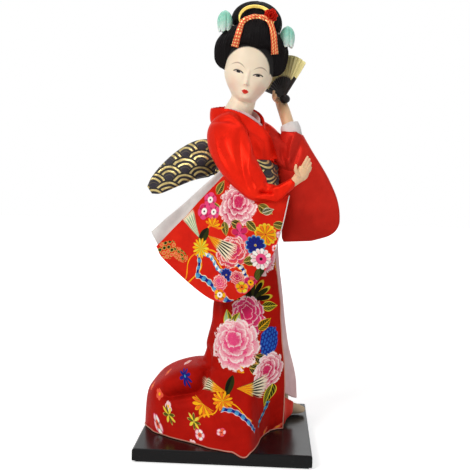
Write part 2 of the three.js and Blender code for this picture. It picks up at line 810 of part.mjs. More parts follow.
// Right hand: a palm, four fingers and a thumb on the end of the arm wire
function rightHand() {
  const palm = rightWrist.clone().add(at(6, -2.6, 6.4));
  const across = at(0.75, 0.1, -0.66);
  const wrist = rightWrist.clone().add(at(-0.66, 0.24, -0.62));
  const knuckles = palm.clone().add(at(1.6, -0.6, 4));
  let whole = limb([[wrist, 2.5, 2.2], [palm, 4.3, 2.6], [knuckles, 3.9, 2]], across, 10, 5);
  const tips = [at(3.6, -1.2, 11.4), at(5.6, -0.6, 9.4), at(6.6, 0, 6.4), at(6, 0.4, 3)];
  const roots = [at(0, -0.6, 4.4), at(1.6, -0.4, 3.4), at(2.6, -0.2, 1.8), at(2.8, 0.2, 0)];
  roots.forEach((root, i) => {
    const from = palm.clone().add(root);
    const to = palm.clone().add(tips[i]);
    const bend = from.clone().lerp(to, 0.55).add(at(0.3, -0.7, 0));
    whole = whole.add(limb([[from, 1.25, 1.2], [bend, 1.1, 1.05], [to, 0.6, 0.6]], across, 6, 4));
  });
  const thumb = [at(-1.6, -1, -1.4), at(-4, -2.4, 2.4), at(-4, -2.8, 6.2)].map((p) => palm.clone().add(p));
  whole = whole.add(limb([[thumb[0], 1.6, 1.5], [thumb[1], 1.3, 1.2], [thumb[2], 0.6, 0.6]], across, 6, 4));
  return fitted(whole, armRight, rightSleeve);
}

// Left sleeve: a bag hanging from the raised forearm, and its short upper part to the shoulder
const bagTop = cuffMiddle.z - 1;
const bag = [
  [0, 32.6, 48.4, 7.4, 10],
  [0.2, 31.4, 59.5, 7.4, 9],
  [0.4, 33.6, 67, 6.6, 8],
  [0.6, 34.2, 71.6, 5.4, 7.6],
  [0.82, 34.6, 74.6, 4.4, 7.4],
  [0.95, 35.6, 74, 3.4, 7.2],
  [1, 38, 69, 1.4, 7],
];
const bagRing = (share) => {
  const [left, right, deep, y] = through(bag, share);
  const ring = oval(at((left + right) / 2, y, bagTop - leftSleeveDrop * share), at(1, 0, 0), at(0, 1, 0),
    (right - left) / 2, deep, deep, 16);
  return ring.map((p) => {
    const slope = 0.07 * (p.x - left) * share - 0.16 * (p.x - left) * (1 - share);
    const folds = 0.9 * Math.sin(p.x * 0.42 + 1) * share * (1 - share) * 3;
    return p.add(at(0, folds, slope));
  });
};
const upperArm = limb(
  [
    [at(neckX + 15, neckY + 8, neckHeight - 13), 9, 9],
    [at(33, 10, waistTop + 8), 10, 8.6],
    [at(45, 9, waistTop - 5), 9, 7],
  ],
  at(0, 1, 0),
  12,
  5,
);
const cuff = fitted(
  limb(
    [
      [cuffMiddle.clone().add(at(2.8, -1.2, -6)), 5.4, 5.4],
      [cuffMiddle.clone().add(at(0.5, -0.6, -1)), 6.2, 5.8],
      [cuffMiddle.clone().add(at(-1.2, 1, 3.2)), 5.7, 5.4],
    ],
    at(1, 0, 0.2),
    12,
    4,
  ),
  armLeft,
);

// Fan and the left arm share one frame: x along the fan, y behind it, z up, on the rivet
const fan = new THREE.Group();
fan.position.set(fanX, fanY, fanHeight);
fan.rotation.z = radians(fanTurn);
fan.updateMatrix();
figure.add(fan);
const toFan = fan.matrix.clone().invert();
const inFan = (p) => p.clone().applyMatrix4(toFan);
const sweepHalf = ((stickCount + 1) * stickPitch) / 2 + stickThickness + gap;

// A blade from the tail below the rivet to its tip, at its own depth
function blade(angle, length, tipWidth, layer) {
  const outline = new THREE.Shape();
  outline.absarc(0, 0, stickTail * 0.42, radians(100), radians(260));
  outline.lineTo(length, -tipWidth / 2);
  outline.lineTo(length, tipWidth / 2);
  const settings = { depth: stickThickness, bevelEnabled: false, curveSegments: 5 };
  const flat = new THREE.ExtrudeGeometry(outline, settings);
  flat.rotateX(Math.PI / 2);
  flat.translate(0, (layer - (stickCount + 1) / 2) * stickPitch + stickThickness / 2, 0);
  flat.rotateY(-radians(angle));
  return solidOf(flat);
}
const spread = (heldGuardAngle - freeGuardAngle) / (stickCount + 1);
const rivetReach = ((stickCount + 1) * stickPitch) / 2 + stickThickness;
const rivetProfile = [
  [0, -rivetReach - 0.9],
  [1.5, -rivetReach - 0.5],
  [1.5, -rivetReach],
  [rivetDiameter / 2, -rivetReach],
  [rivetDiameter / 2, rivetReach],
  [1.5, rivetReach],
  [1.5, rivetReach + 0.5],
  [0, rivetReach + 0.9],
].map((p) => new THREE.Vector2(...p));
const rivet = solidOf(new THREE.LatheGeometry(rivetProfile, 12));
piece(fan, 'fan_rivet', rivet, 0x1a1512, 0.4);
const freeGuard = fitted(blade(freeGuardAngle, fanRadius + 0.6, stickWidth, 0), rivet);
piece(fan, 'fan_guard_free', freeGuard, 0x15110f, 0.4);
const heldGuard = fitted(blade(heldGuardAngle, fanRadius + 0.6, stickWidth, stickCount + 1), rivet);
piece(fan, 'fan_guard_held', heldGuard, 0x15110f, 0.4);
for (let i = 1; i <= stickCount; i++) {
  const stick = fitted(blade(freeGuardAngle + spread * i, leafInner - gap, stickWidth, i), rivet);
  piece(fan, `fan_stick_${i}`, stick, 0x15110f, 0.4);
}

// Pleated leaf beyond the sticks
const leafTurns = steps(freeGuardAngle, heldGuardAngle, 2 * (stickCount + 1) + 1);
const leafGrid = [leafInner, (leafInner + fanRadius) / 2, fanRadius].map((radius) =>
  leafTurns.map((turn, i) => {
    const depth = (i % 2 ? pleatHeight : -pleatHeight) * (radius / fanRadius);
    return at(radius * Math.cos(radians(turn)), depth, radius * Math.sin(radians(turn)));
  }),
);
piece(fan, 'fan_leaf', wallBetween(leafGrid, moved(leafGrid, leafThickness)), 0xd2bf62, 0.4, 0.4);

// Left arm: forearm, hand behind the fan and thumb in front of it, clear of the whole sweep of the sticks
const sweepShape = new THREE.Shape();
sweepShape.moveTo(0, 0);
sweepShape.absarc(0, 0, fanRadius + 1.5, radians(freeGuardAngle - 8), radians(heldGuardAngle + 8));
sweepShape.lineTo(0, 0);
const sweepSettings = { depth: 2 * sweepHalf, bevelEnabled: false, curveSegments: 8 };
const sweepFlat = new THREE.ExtrudeGeometry(sweepShape, sweepSettings);
sweepFlat.rotateX(Math.PI / 2);
sweepFlat.translate(0, sweepHalf, 0);
const sweepHub = new THREE.CylinderGeometry(stickTail + 0.8, stickTail + 0.8, 2 * (rivetReach + 1.4), 12);
const fanSweep = solidOf(sweepFlat).add(solidOf(sweepHub));
const palmMiddle = at(-8.5, sweepHalf + 3.6, 8.5);
const wristInFan = inFan(leftWrist);
const forearm = limb(
  [
    [inFan(cuffMiddle.clone().add(at(4.4, -1.3, -8.2))), 3.9, 3.7],
    [inFan(cuffMiddle.clone().add(at(-2.6, 4, 10.5))), 3.8, 3.6],
    [wristInFan, 3, 2.7],
    [palmMiddle.clone().lerp(wristInFan, 0.4), 3.8, 2.6],
    [palmMiddle, 4.6, 2.5],
    [palmMiddle.clone().add(at(1.4, 0, 4.6)), 4.2, 2],
  ],
  at(1, 0.2, 0.2),
  10,
  9,
);
let arm = forearm;
[-3, -1, 1.1, 3.1].forEach((x, i) => {
  const root = palmMiddle.clone().add(at(x + 1, 0, 3.4));
  const middle = root.clone().add(at(0.8, -0.4, 4.4 - 0.5 * Math.abs(i - 1.4)));
  const tip = middle.clone().add(at(0.5, -0.6, 3.8));
  arm = arm.add(limb([[root, 1.3, 1.2], [middle, 1.2, 1.1], [tip, 0.6, 0.6]], at(1, 0, 0), 6, 4));
});
const thumbLine = [
  palmMiddle.clone().add(at(-3.4, -0.6, -4)),
  at(-10.6, 0.5, 0.2),
  at(-9.8, -sweepHalf - 1.6, 3.4),
  at(-7.6, -sweepHalf - 1.5, 8.2),
];
const thumbSizes = [[1.7, 1.6], [1.5, 1.4], [1.35, 1.2], [0.6, 0.6]];
const thumbRows = thumbSizes.map(([wide, deep], i) => [thumbLine[i], wide, deep]);
arm = arm.add(limb(thumbRows, at(1, 0, 0), 6, 8));
const armLeftInFan = armLeft.transform(toFan.elements);
const leftArm = fitted(arm, fanSweep, armLeftInFan);
piece(fan, 'left_arm', leftArm, 0xf3c190, 0.5);

const leftArmHere = leftArm.transform(fan.matrix.elements);
const leftCuff = fitted(cuff, leftArmHere);
piece(figure, 'left_cuff', leftCuff, 0xe9e3e0, 0.6);
const leftSleeve = fitted(
  loft(steps(0, 1, 9).map(bagRing)).add(upperArm),
  bodiceBody,
  obiBody,
  collarOuter,
  leftCuff,
  leftArmHere,
  armLeft,
  kimonoSkirt,
  rightPanel,
  rightSleeve,
  hand,
);
piece(figure, 'left_sleeve', leftSleeve, deepRed, 0.45);

// Head frame: on the neck, z along the tilted neck axis, -y towards the face
const head = new THREE.Group();
head.position.copy(neckBase);
head.rotation.set(0, radians(headTilt), radians(headTurn));
head.updateMatrix();
figure.add(head);
const toHead = head.matrix.clone().invert();

// Head and neck: [height, half width, reach to the face, reach to the back]
const headRows = [
  [-6.5, 6.2, 6, 6.6],
  [0, 5.8, 5.2, 6.6],
  [6, 6.1, 5.4, 7],
  [8.3, 6.4, 6.4, 7.4],
  [9, 5.4, 12.6, 7.8],
  [11.5, 8.2, 14.8, 8.4],
  [16.5, 11.6, 15.8, 10],
  [23, 14.6, 16.2, 13],
  [30, 15.9, 16, 16],
  [37, 16.2, 16.6, 18],
  [44, 15.6, 16, 18.4],
  [51, 13.2, 13, 17],
  [56, 9, 8.2, 12.4],
  [58.4, 3, 2.6, 5],
];
const faceHeights = [-6.5, 0, 6, 8.3, 9, 11.5, 15, 19, 22, 25, 30, 37, 44, 50, 55, 58.4];
const headRing = (height) => {
  const [half, face, back] = through(headRows, height);
  return oval(at(0, 0, height), at(1, 0, 0), at(0, 1, 0), half, back, face, 20).map((p) => {
    const nose = p.y < 0 ? 2.4 * bell(p.x, 0, 2.4) * bell(height, 22, 3.4) : 0;
    return p.add(at(0, -nose, 0));
  });
};
// The skull's room in the hair, a little larger than the head
const skull = loft(
  [9, 16, 23, 30, 37, 44, 51, 56, 59].map((height) => {
    const [half, face, back] = through(headRows, height).map((reach) => reach + 0.7);
    return oval(at(0, 0, height), at(1, 0, 0), at(0, 1, 0), half, back, face, 14);
  }),
);
const pegInHead = peg.transform(toHead.elements);
const headSolid = fitted(loft(faceHeights.map(headRing)), pegInHead, bodiceBody.transform(toHead.elements));
piece(head, 'head', headSolid, porcelain, 0.4);

// Hair cap with its side wings: [height, half width, reach to the face, reach to the back]
const capRows = [
  [17, 8, -3, 13.5],
  [22, 12, -1, 18],
  [29, 17, 2.5, 20.4],
  [33, 21.4, 5.2, 21],
  [39, hairHalfWidth - 0.5, 7.6, 21],
  [45, hairHalfWidth, 10.6, 20.6],
  [50, hairHalfWidth - 0.8, 17.4, 20],
  [56, hairHalfWidth - 4, 18, 18.6],
  [61, hairHalfWidth - 9.5, 15, 15.4],
  [64, hairHalfWidth - 17, 9, 9.6],
];
const capRing = (height) => {
  const [half, face, back] = through(capRows, height);
  return oval(at(0, 0, height), at(1, 0, 0), at(0, 1, 0), half, back, face, 22);
};
const capHeights = [17, 22, 29, 34, 39, 45, 50, 55, 60, 64];

// Two hairpins with a bud on each, straight into the hair from both sides
const pinWays = { left: at(-0.96, -0.1, 0.26).normalize(), right: at(0.96, -0.1, 0.26).normalize() };
const pinPlaces = { left: at(-21, -6, 62), right: at(22.6, -6, 61.4) };
const budDrop = { left: 0, right: 3.4 };
const pins = {};
const buds = {};
for (const name of ['left', 'right']) {
  const way = pinWays[name];
  const seat = pinPlaces[name].clone().addScaledVector(way, -3);
  const line = [0, 0.5, 1].map((share) => seat.clone().addScaledVector(way, -pinLength * share));
  pins[name] = wire(line, pinDiameter, 2);
  const middle = pinPlaces[name].clone().add(at(0, 0, -budDrop[name]));
  buds[name] = fitted(egg(middle, budWidth / 2, budWidth / 2 - 0.4, budHeight / 2, 12, 8), pins[name]);
}
const forelockSolid = egg(at(2, -9, 56.5), forelockHalf, forelockHalf - 1.8, forelockHalf + 0.2);
const topknotSolid = egg(at(0.4, 3, 66.3), topknotHalf, topknotHalf - 4.4, topknotHalf - 3.2);
const napeSolid = egg(at(0, 15, 31), napeHalf, napeHalf - 3.6, napeHalf + 0.4);
const cap = fitted(loft(capHeights.map(capRing)), skull, pins.left, pins.right, buds.left, buds.right);
piece(head, 'hair_cap', cap, black, 0.4);
const topknot = fitted(topknotSolid, cap, skull, pins.left, pins.right, buds.left, buds.right);
piece(head, 'hair_topknot', topknot, black, 0.4);

// Ribbon arch over the forelock, comb and rosette before the topknot
const archLine = steps(-1, 1, 9).map((s) => {
  const turn = s * radians(122);
  return at(2.4 + 13.6 * Math.sin(turn), -16.6 + 2.6 * Math.abs(s), 55 + 11.4 * Math.cos(turn));
});
const ribbonCurve = new THREE.CatmullRomCurve3(archLine);
const ribbonTube = limb(
  steps(0, 1, 9).map((t) => [ribbonCurve.getPoint(t), ribbonWidth / 2, ribbonThickness / 2]),
  at(0, -1, 0),
  6,
  15,
);
const forelock = fitted(forelockSolid, cap, skull, topknot, pins.left, pins.right);
piece(head, 'hair_forelock', forelock, black, 0.4);
const ribbon = fitted(
  ribbonTube,
  forelock,
  cap,
  headSolid,
  topknot,
  pins.left,
  pins.right,
  buds.left,
  buds.right,
);
piece(head, 'hair_ribbon', ribbon, 0xd04a18, 0.35, 0.3);
const napeHair = fitted(napeSolid, cap, skull, topknot);
piece(head, 'hair_nape', napeHair, black, 0.4);
const combShape = new THREE.Shape();
combShape.absarc(0, 0, combRadius, radians(8), radians(172));
combShape.absarc(0, -3.4, combRadius - 1.8, radians(154), radians(26), true);
const combSettings = { depth: combThickness, bevelEnabled: false, curveSegments: 14 };
const combFlat = new THREE.ExtrudeGeometry(combShape, combSettings);
combFlat.rotateX(Math.PI / 2);
combFlat.translate(-0.4, -11.6, 66);
const comb = fitted(solidOf(combFlat), topknot, forelock, ribbon, cap);
piece(head, 'hair_comb', comb, 0xcfae44, 0.35, 0.8);
const rosette = egg(at(8.6, -15.4, 67), flowerWidth / 2, flowerWidth / 2 - 1, flowerWidth / 2, 12, 7);
const flower = fitted(rosette, ribbon, comb, forelock, topknot);
piece(head, 'hair_flower', flower, 0xd8321c, 0.5);
for (const name of ['left', 'right']) {
  piece(head, `hairpin_${name}`, pins[name], 0xe8e4da, 0.3);
  piece(head, `bud_${name}`, fitted(buds[name], topknot, ribbon), 0xbfdcd2, 0.25);
}

export default doll;
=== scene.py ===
import bpy
import numpy as np
from mathutils import Matrix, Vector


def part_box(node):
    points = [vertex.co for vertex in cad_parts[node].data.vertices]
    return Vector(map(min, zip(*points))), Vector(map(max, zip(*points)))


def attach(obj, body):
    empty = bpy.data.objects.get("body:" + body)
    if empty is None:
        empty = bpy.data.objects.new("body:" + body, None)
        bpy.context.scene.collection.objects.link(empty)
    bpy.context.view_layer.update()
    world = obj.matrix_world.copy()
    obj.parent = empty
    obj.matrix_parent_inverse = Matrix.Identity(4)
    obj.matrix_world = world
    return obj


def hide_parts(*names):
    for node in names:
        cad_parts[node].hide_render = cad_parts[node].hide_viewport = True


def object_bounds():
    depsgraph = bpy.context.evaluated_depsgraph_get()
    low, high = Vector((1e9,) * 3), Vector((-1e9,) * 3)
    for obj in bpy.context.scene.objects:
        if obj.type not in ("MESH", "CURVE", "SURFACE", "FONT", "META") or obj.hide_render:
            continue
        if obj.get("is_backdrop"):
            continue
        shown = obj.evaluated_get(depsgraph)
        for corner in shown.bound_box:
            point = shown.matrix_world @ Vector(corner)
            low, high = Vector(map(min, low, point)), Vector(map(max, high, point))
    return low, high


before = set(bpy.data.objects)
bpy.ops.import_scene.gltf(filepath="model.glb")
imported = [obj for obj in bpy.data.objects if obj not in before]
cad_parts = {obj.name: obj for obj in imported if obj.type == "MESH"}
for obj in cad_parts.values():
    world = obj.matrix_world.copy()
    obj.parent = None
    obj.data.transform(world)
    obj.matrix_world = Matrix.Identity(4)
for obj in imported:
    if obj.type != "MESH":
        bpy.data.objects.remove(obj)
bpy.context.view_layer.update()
boardTop = 9.0  # height of the board over the floor, in mm
print("frame loaded:", len(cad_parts), "nodes")


# shape helpers
def bell(x, middle, width):  # 1 at the middle, and exp(-(distance / width) ** 2) away from it
    return np.exp(-(((x - middle) / width) ** 2))


def ease(x, low, high):  # 0 below low, 1 above high, smooth between
    t = np.clip((x - low) / (high - low), 0, 1)
    return t * t * (3 - 2 * t)


def unit(v):  # the same direction with a length of 1
    return v / np.maximum(np.linalg.norm(v, axis=-1, keepdims=True), 1e-9)


def through(rows, place):  # smooth values through rows of [place, value, ...], level past both ends
    rows = np.array(rows, float)
    x, y = rows[:, 0], rows[:, 1:]
    t = np.clip(np.asarray(place, float), x[0], x[-1])
    k = np.clip(np.searchsorted(x, t, side="right") - 1, 0, len(x) - 2)
    slope = np.zeros_like(y)
    slope[1:-1] = (y[2:] - y[:-2]) / (x[2:] - x[:-2])[:, None]
    slope[0], slope[-1] = (y[1] - y[0]) / (x[1] - x[0]), (y[-1] - y[-2]) / (x[-1] - x[-2])
    span = (x[k + 1] - x[k])[..., None]
    s = (t - x[k])[..., None] / span
    p, q, m, n = y[k], y[k + 1], slope[k] * span, slope[k + 1] * span
    return p + s * (m + s * (3 * (q - p) - 2 * m - n + s * (2 * (p - q) + m + n)))


def line(points, t):  # smooth line through points, t from 0 to 1
    points = np.array(points, float)
    return through(np.column_stack([np.linspace(0, 1, len(points)), points]), t)


def stack(x, y, z):  # points from their three lengths
    return np.stack(np.broadcast_arrays(x, y, z), -1).astype(float)


def gridOf(columns, rows):  # the column's value and the row's value at each point of a grid
    return np.broadcast_arrays(np.asarray(columns, float)[None], np.asarray(rows, float)[:, None])


def ringRows(rows, sides):  # the row's value and the turn at each point of a closed grid
    turn, value = gridOf(np.linspace(0, 2 * np.pi, sides, endpoint=False), rows)
    return value, turn


def limb(rows, across, sides, count, swell=None):
    # rings of an oval carried along a smooth line: rows of [x, y, z, half across, half deep]
    t = np.linspace(0, 1, count)
    at = line(rows, t)
    middle, half = at[:, :3], at[:, 3:5]
    along = unit(np.gradient(middle, axis=0))
    deep = unit(np.cross(along, across))
    wide = np.cross(deep, along)
    turn = np.linspace(0, 2 * np.pi, sides, endpoint=False)
    more = swell(t[:, None], turn[None]) if swell else 0
    a, b = (half[:, :1] + more) * np.cos(turn), (half[:, 1:] + more) * np.sin(turn)
    return middle[:, None] + wide[:, None] * a[..., None] + deep[:, None] * b[..., None]


def egg(middle, half, count, swell=None):
    # rings of a ball pulled out of round, its poles at the top and the bottom
    tilt, turn = ringRows(np.linspace(0.03, np.pi - 0.03, count[0]), count[1])
    r = 1 + (swell(tilt, turn) if swell else 0)
    ball = stack(r * np.sin(tilt) * np.cos(turn), r * np.sin(tilt) * np.sin(turn), r * np.cos(tilt))
    return np.array(middle) + np.array(half) * ball


def spreadMap(spots, ring=False, anchor=None):  # lengths along the rows and the columns, from one column
    closed = np.concatenate([spots, spots[:, :1]], 1) if ring else spots
    stepU = np.linalg.norm(np.diff(closed, axis=1), axis=-1)
    stepV = np.linalg.norm(np.diff(closed, axis=0), axis=-1)
    u = np.pad(np.cumsum(stepU, 1), ((0, 0), (1, 0)))
    v = np.pad(np.cumsum(stepV, 0), ((1, 0), (0, 0)))
    return np.stack([u - u[:, [closed.shape[1] // 2 if anchor is None else anchor]], -v], -1)


def gridFaces(shape, ring, ends, flip):  # quads of a grid, and a fan of triangles on each closed end
    rows, cols = shape
    r, c = np.meshgrid(np.arange(rows - 1), np.arange(cols if ring else cols - 1), indexing="ij")
    wide = cols + 1 if ring else cols  # the map has the first column twice

    def quads(width, after):  # corners of each cell: row times width plus column
        low, high = r * width, (r + 1) * width
        return np.stack([low + c, low + after, high + after, high + c], -1).reshape(-1, 4).tolist()

    faces, marks = quads(cols, (c + 1) % cols), quads(wide, c + 1)
    i = np.arange(cols)
    j = (i + 1) % cols
    pole, last, lastMark = 0 * i + rows * cols, (rows - 1) * cols + 0 * i, (rows - 1) * wide + i
    if ends[0]:
        faces += np.stack([j, i, pole], -1).tolist()
        marks += np.stack([i + 1, i, i], -1).tolist()
    if ends[1]:
        faces += np.stack([last + i, last + j, pole + int(ends[0])], -1).tolist()
        marks += np.stack([lastMark, lastMark + 1, lastMark], -1).tolist()
    return ([f[::-1] for f in faces], [m[::-1] for m in marks]) if flip else (faces, marks)


def toMetres(spots):  # from mm above the board to metres above the floor
    return (np.asarray(spots, float) + [0, 0, boardTop]) * 0.001


def makeMesh(name, grids):
    # one mesh from grids of points; each has spots and may have ring, ends, flip, uv and anchor
    points, faces, maps, base = [], [], [], 0
    for g in grids:
        spots, ring, ends = g["spots"], g.get("ring", False), g.get("ends", (0, 0))
        uv = g["uv"] if g.get("uv") is not None else spreadMap(spots, ring, g.get("anchor"))
        own, marks = gridFaces(spots.shape[:2], ring, ends, g.get("flip", False))
        poles = [spots[row].mean(0) for row, closed in zip((0, -1), ends) if closed]
        flat = np.concatenate([spots.reshape(-1, 3)] + [p[None] for p in poles])
        points.append(flat)
        faces += [[i + base for i in f] for f in own]
        maps.append(uv.reshape(-1, 2)[np.concatenate([np.array(m) for m in marks])])
        base += len(flat)
    mesh = bpy.data.meshes.new(name)
    mesh.from_pydata(toMetres(np.concatenate(points)).tolist(), [], faces)
    layer = mesh.uv_layers.new(name="clothMap")
    layer.uv.foreach_set("vector", np.concatenate(maps).astype(np.float32).ravel())
    mesh.polygons.foreach_set("use_smooth", np.ones(len(mesh.polygons), bool))
    mesh.update()
    piece = bpy.data.objects.new(name, mesh)
    bpy.context.scene.collection.objects.link(piece)
    return piece


def ringGrid(spots, flip=False, ends=(1, 1), **more):  # a closed grid, and which ends are closed
    return {"spots": spots, "ring": True, "ends": ends, "flip": flip, **more}


def thicken(piece, depth, inner=0):  # a wall on the inner side of a sheet
    wall = piece.modifiers.new("wall", "SOLIDIFY")
    wall.thickness, wall.offset, wall.use_even_offset = depth * 0.001, -1, False
    wall.material_offset = inner


def fuse(piece, voxel, rounds):  # overlapping limbs grown together and smoothed, as one skin
    skin = piece.modifiers.new("skin", "REMESH")
    skin.mode, skin.voxel_size, skin.use_smooth_shade = "VOXEL", voxel * 0.001, True
    soft = piece.modifiers.new("soft", "SMOOTH")
    soft.factor, soft.iterations = 0.5, rounds
    bpy.context.view_layer.update()
    made = bpy.data.meshes.new_from_object(piece.evaluated_get(bpy.context.evaluated_depsgraph_get()))
    piece.modifiers.clear()
    piece.data = made
    made.polygons.foreach_set("use_smooth", np.ones(len(made.polygons), bool))
    return piece


def meshPoints(mesh):  # corner points in mm above the board, and their normals
    spots, ways = np.empty(len(mesh.vertices) * 3), np.empty(len(mesh.vertices) * 3)
    mesh.vertices.foreach_get("co", spots)
    mesh.vertex_normals.foreach_get("vector", ways)
    return spots.reshape(-1, 3) * 1000 - [0, 0, boardTop], ways.reshape(-1, 3)


def foldLines(piece, lines, facing=(0.0, 0.4)):
    # ridges and creases along lines of (x, z) seen from the front: rise * exp(-(distance / width) ** 1.4)
    spots, ways = meshPoints(piece.data)
    move = np.zeros(len(spots))
    for points, width, rise in lines:
        t = np.linspace(0, 1, 90)
        at = line(points, t)
        gone = np.hypot(spots[:, :1] - at[:, 0], spots[:, 2:] - at[:, 1])
        nearest = gone.argmin(1)
        fade = np.sin(np.pi * (0.06 + 0.88 * t[nearest])) ** 0.6  # towards both ends of the line
        move += rise * np.exp(-((gone.min(1) / width) ** 1.4)) * fade
    spots += ways * (move * ease(-ways[:, 1], *facing))[:, None]
    piece.data.vertices.foreach_set("co", toMetres(spots).ravel())
    piece.data.update()


def boxMap(piece):  # lengths across the cloth, read along the two axes that a face lies nearest to
    mesh = piece.data
    spots, _ = meshPoints(mesh)
    corner, own = np.empty(len(mesh.loops), int), np.empty(len(mesh.polygons), int)
    mesh.loops.foreach_get("vertex_index", corner)
    mesh.polygons.foreach_get("loop_total", own)
    ways = np.empty(len(mesh.polygons) * 3)
    mesh.polygons.foreach_get("normal", ways)
    main = np.repeat(np.abs(ways.reshape(-1, 3)).argmax(1), own)
    pairs = np.array([[1, 2], [0, 2], [0, 1]])[main]
    uv = np.take_along_axis(spots[corner], pairs, 1)
    layer = mesh.uv_layers[0] if mesh.uv_layers else mesh.uv_layers.new(name="clothMap")
    layer.uv.foreach_set("vector", uv.astype(np.float32).ravel())


def settle(piece, materials, body, slotName, *nodes):  # finish, body and replaced nodes of a piece; slotName is not used
    for m in materials if isinstance(materials, (list, tuple)) else [materials]:
        piece.data.materials.append(m)
    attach(piece, body)
    if nodes:
        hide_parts(*nodes)
    print("made", piece.name, len(piece.data.polygons))
    return piece


def sew(name, grids, materials, body, slotName, *nodes, wall=0.0):  # a piece from its grids, settled
    piece = makeMesh(name, grids)
    if wall:
        thicken(piece, wall)
    return settle(piece, materials, body, slotName, *nodes)


def cord(points, half, across, count):  # a thin round edge along a line of points
    return ringGrid(limb(np.column_stack([points, np.full((len(points), 2), half)]), across, 10, count))


# shader helpers
class Wire:  # a shader value that can be reckoned with
    def __init__(self, tree, socket):
        self.tree, self.socket = tree, socket

    def op(self, kind, *others):
        made = self.tree.nodes.new("ShaderNodeMath")
        made.operation = kind
        for slot, value in zip(made.inputs, (self, *others)):
            plug(slot, value)
        return Wire(self.tree, made.outputs[0])

    def clip(self):  # held between 0 and 1
        return node(self.tree, "Clamp", {0: self})

    __add__ = __radd__ = lambda a, b: a.op("ADD", b)
    __mul__ = __rmul__ = lambda a, b: a.op("MULTIPLY", b)
    __sub__ = lambda a, b: a.op("SUBTRACT", b)
    __rsub__ = lambda a, b: (a * -1.0) + b
    __truediv__ = lambda a, b: a.op("DIVIDE", b)
    __rtruediv__ = lambda a, b: (a ** -1.0) * b
    __pow__ = lambda a, b: a.op("POWER", b)
    __abs__ = lambda a: a.op("ABSOLUTE")

    def below(self, edge, width=0.05):  # 1 where this is under the edge, soft over the width
        return self.op("MULTIPLY_ADD", -1 / width, edge * (1 / width) + 0.5).clip()

    def above(self, edge, width=0.05):  # 1 where this is over the edge
        return self.op("MULTIPLY_ADD", 1 / width, edge * (-1 / width) + 0.5).clip()


def plug(slot, value):  # a link from a wire, or else the socket's own value
    if isinstance(value, Wire):
        value.tree.links.new(value.socket, slot)
    else:
        slot.default_value = value


def node(tree, kind, values=None, out=0, **settings):  # a new node with its values, as one of its outputs
    made = tree.nodes.new("ShaderNode" + kind)
    for key, value in settings.items():
        setattr(made, key, value)
    for key, value in (values or {}).items():
        plug(made.inputs[key], value)
    return Wire(tree, made.outputs[out])


def mix(share, a, b):  # colour a where the share is 0, b where it is 1
    made = share.tree.nodes.new("ShaderNodeMix")
    made.data_type = "RGBA"
    for key, value in ((0, share), (6, a), (7, b)):
        plug(made.inputs[key], value)
    return Wire(share.tree, made.outputs[2])


def hypot(x, y):  # the square root of x squared plus y squared
    return (x * x + y * y).op("SQRT")


def tint(r, g, b):  # a colour as read off a screen, 0 to 255, made linear
    c = np.array([r, g, b]) / 255
    c = np.where(c <= 0.04045, c / 12.92, ((c + 0.055) / 1.055) ** 2.4)
    return (*c.tolist(), 1.0)


def makeGroup(name, inputs, outputs):  # a node group; an input's kind follows from its value
    tree = bpy.data.node_groups.new(name, "ShaderNodeTree")
    for label, value in inputs.items():
        kind = "Float" if isinstance(value, float) else "Vector" if len(value) == 3 else "Color"
        made = tree.interface.new_socket(name=label, in_out="INPUT", socket_type="NodeSocket" + kind)
        made.default_value = value
    for label, kind in outputs.items():
        tree.interface.new_socket(name=label, in_out="OUTPUT", socket_type="NodeSocket" + kind)
    enter = tree.nodes.new("NodeGroupInput")
    leave = tree.nodes.new("NodeGroupOutput")
    return tree, {label: Wire(tree, enter.outputs[label]) for label in inputs}, leave.inputs


def use(tree, group, values):  # a group placed in a tree, its outputs by name
    made = tree.nodes.new("ShaderNodeGroup")
    made.node_tree = group
    for key, value in values.items():
        plug(made.inputs[key], value)
    return {o.name: Wire(tree, o) for o in made.outputs}


def newMaterial(name):  # a material, its tree and its main shader
    made = bpy.data.materials.new(name)
    made.use_nodes = True
    return made, made.node_tree, made.node_tree.nodes["Principled BSDF"]


def dress(shader, color=None, rough=None, height=None, bump=0.3, depth=0.1, **constants):
    # the varying colour, roughness and height, and the constant values on the shader's own sockets
    if color is not None:
        plug(shader.inputs["Base Color"], color)
    if rough is not None:
        plug(shader.inputs["Roughness"], rough)
    if height is not None:
        values = {"Height": height, "Strength": bump, "Distance": depth * 0.001}
        plug(shader.inputs["Normal"], node(shader.id_data, "Bump", values))
    for label, value in constants.items():
        plug(shader.inputs[label.replace("_", " ")], value)


def clothMap(tree):  # the piece's own map, in mm
    return node(tree, "UVMap", uv_map="clothMap")


def objectMap(tree):  # the place on the piece, in metres
    return node(tree, "TexCoord", out=3)


def axes(vector):  # the three lengths of a vector
    made = vector.tree.nodes.new("ShaderNodeSeparateXYZ")
    plug(made.inputs[0], vector)
    return [Wire(vector.tree, o) for o in made.outputs]


def noise(vector, scale, detail=2.0, rough=0.5):  # cloudy values round a half, scale clouds to a unit
    values = {"Vector": vector, "Scale": scale, "Detail": detail, "Roughness": rough}
    return node(vector.tree, "TexNoise", values)


def plainFinish(name, color, grain, **constants):  # one colour on a slightly uneven face
    made, tree, shader = newMaterial(name)
    dress(shader, color, None, noise(objectMap(tree), grain), 0.05, 0.05, **constants)
    return made


fullTurn = 6.2832


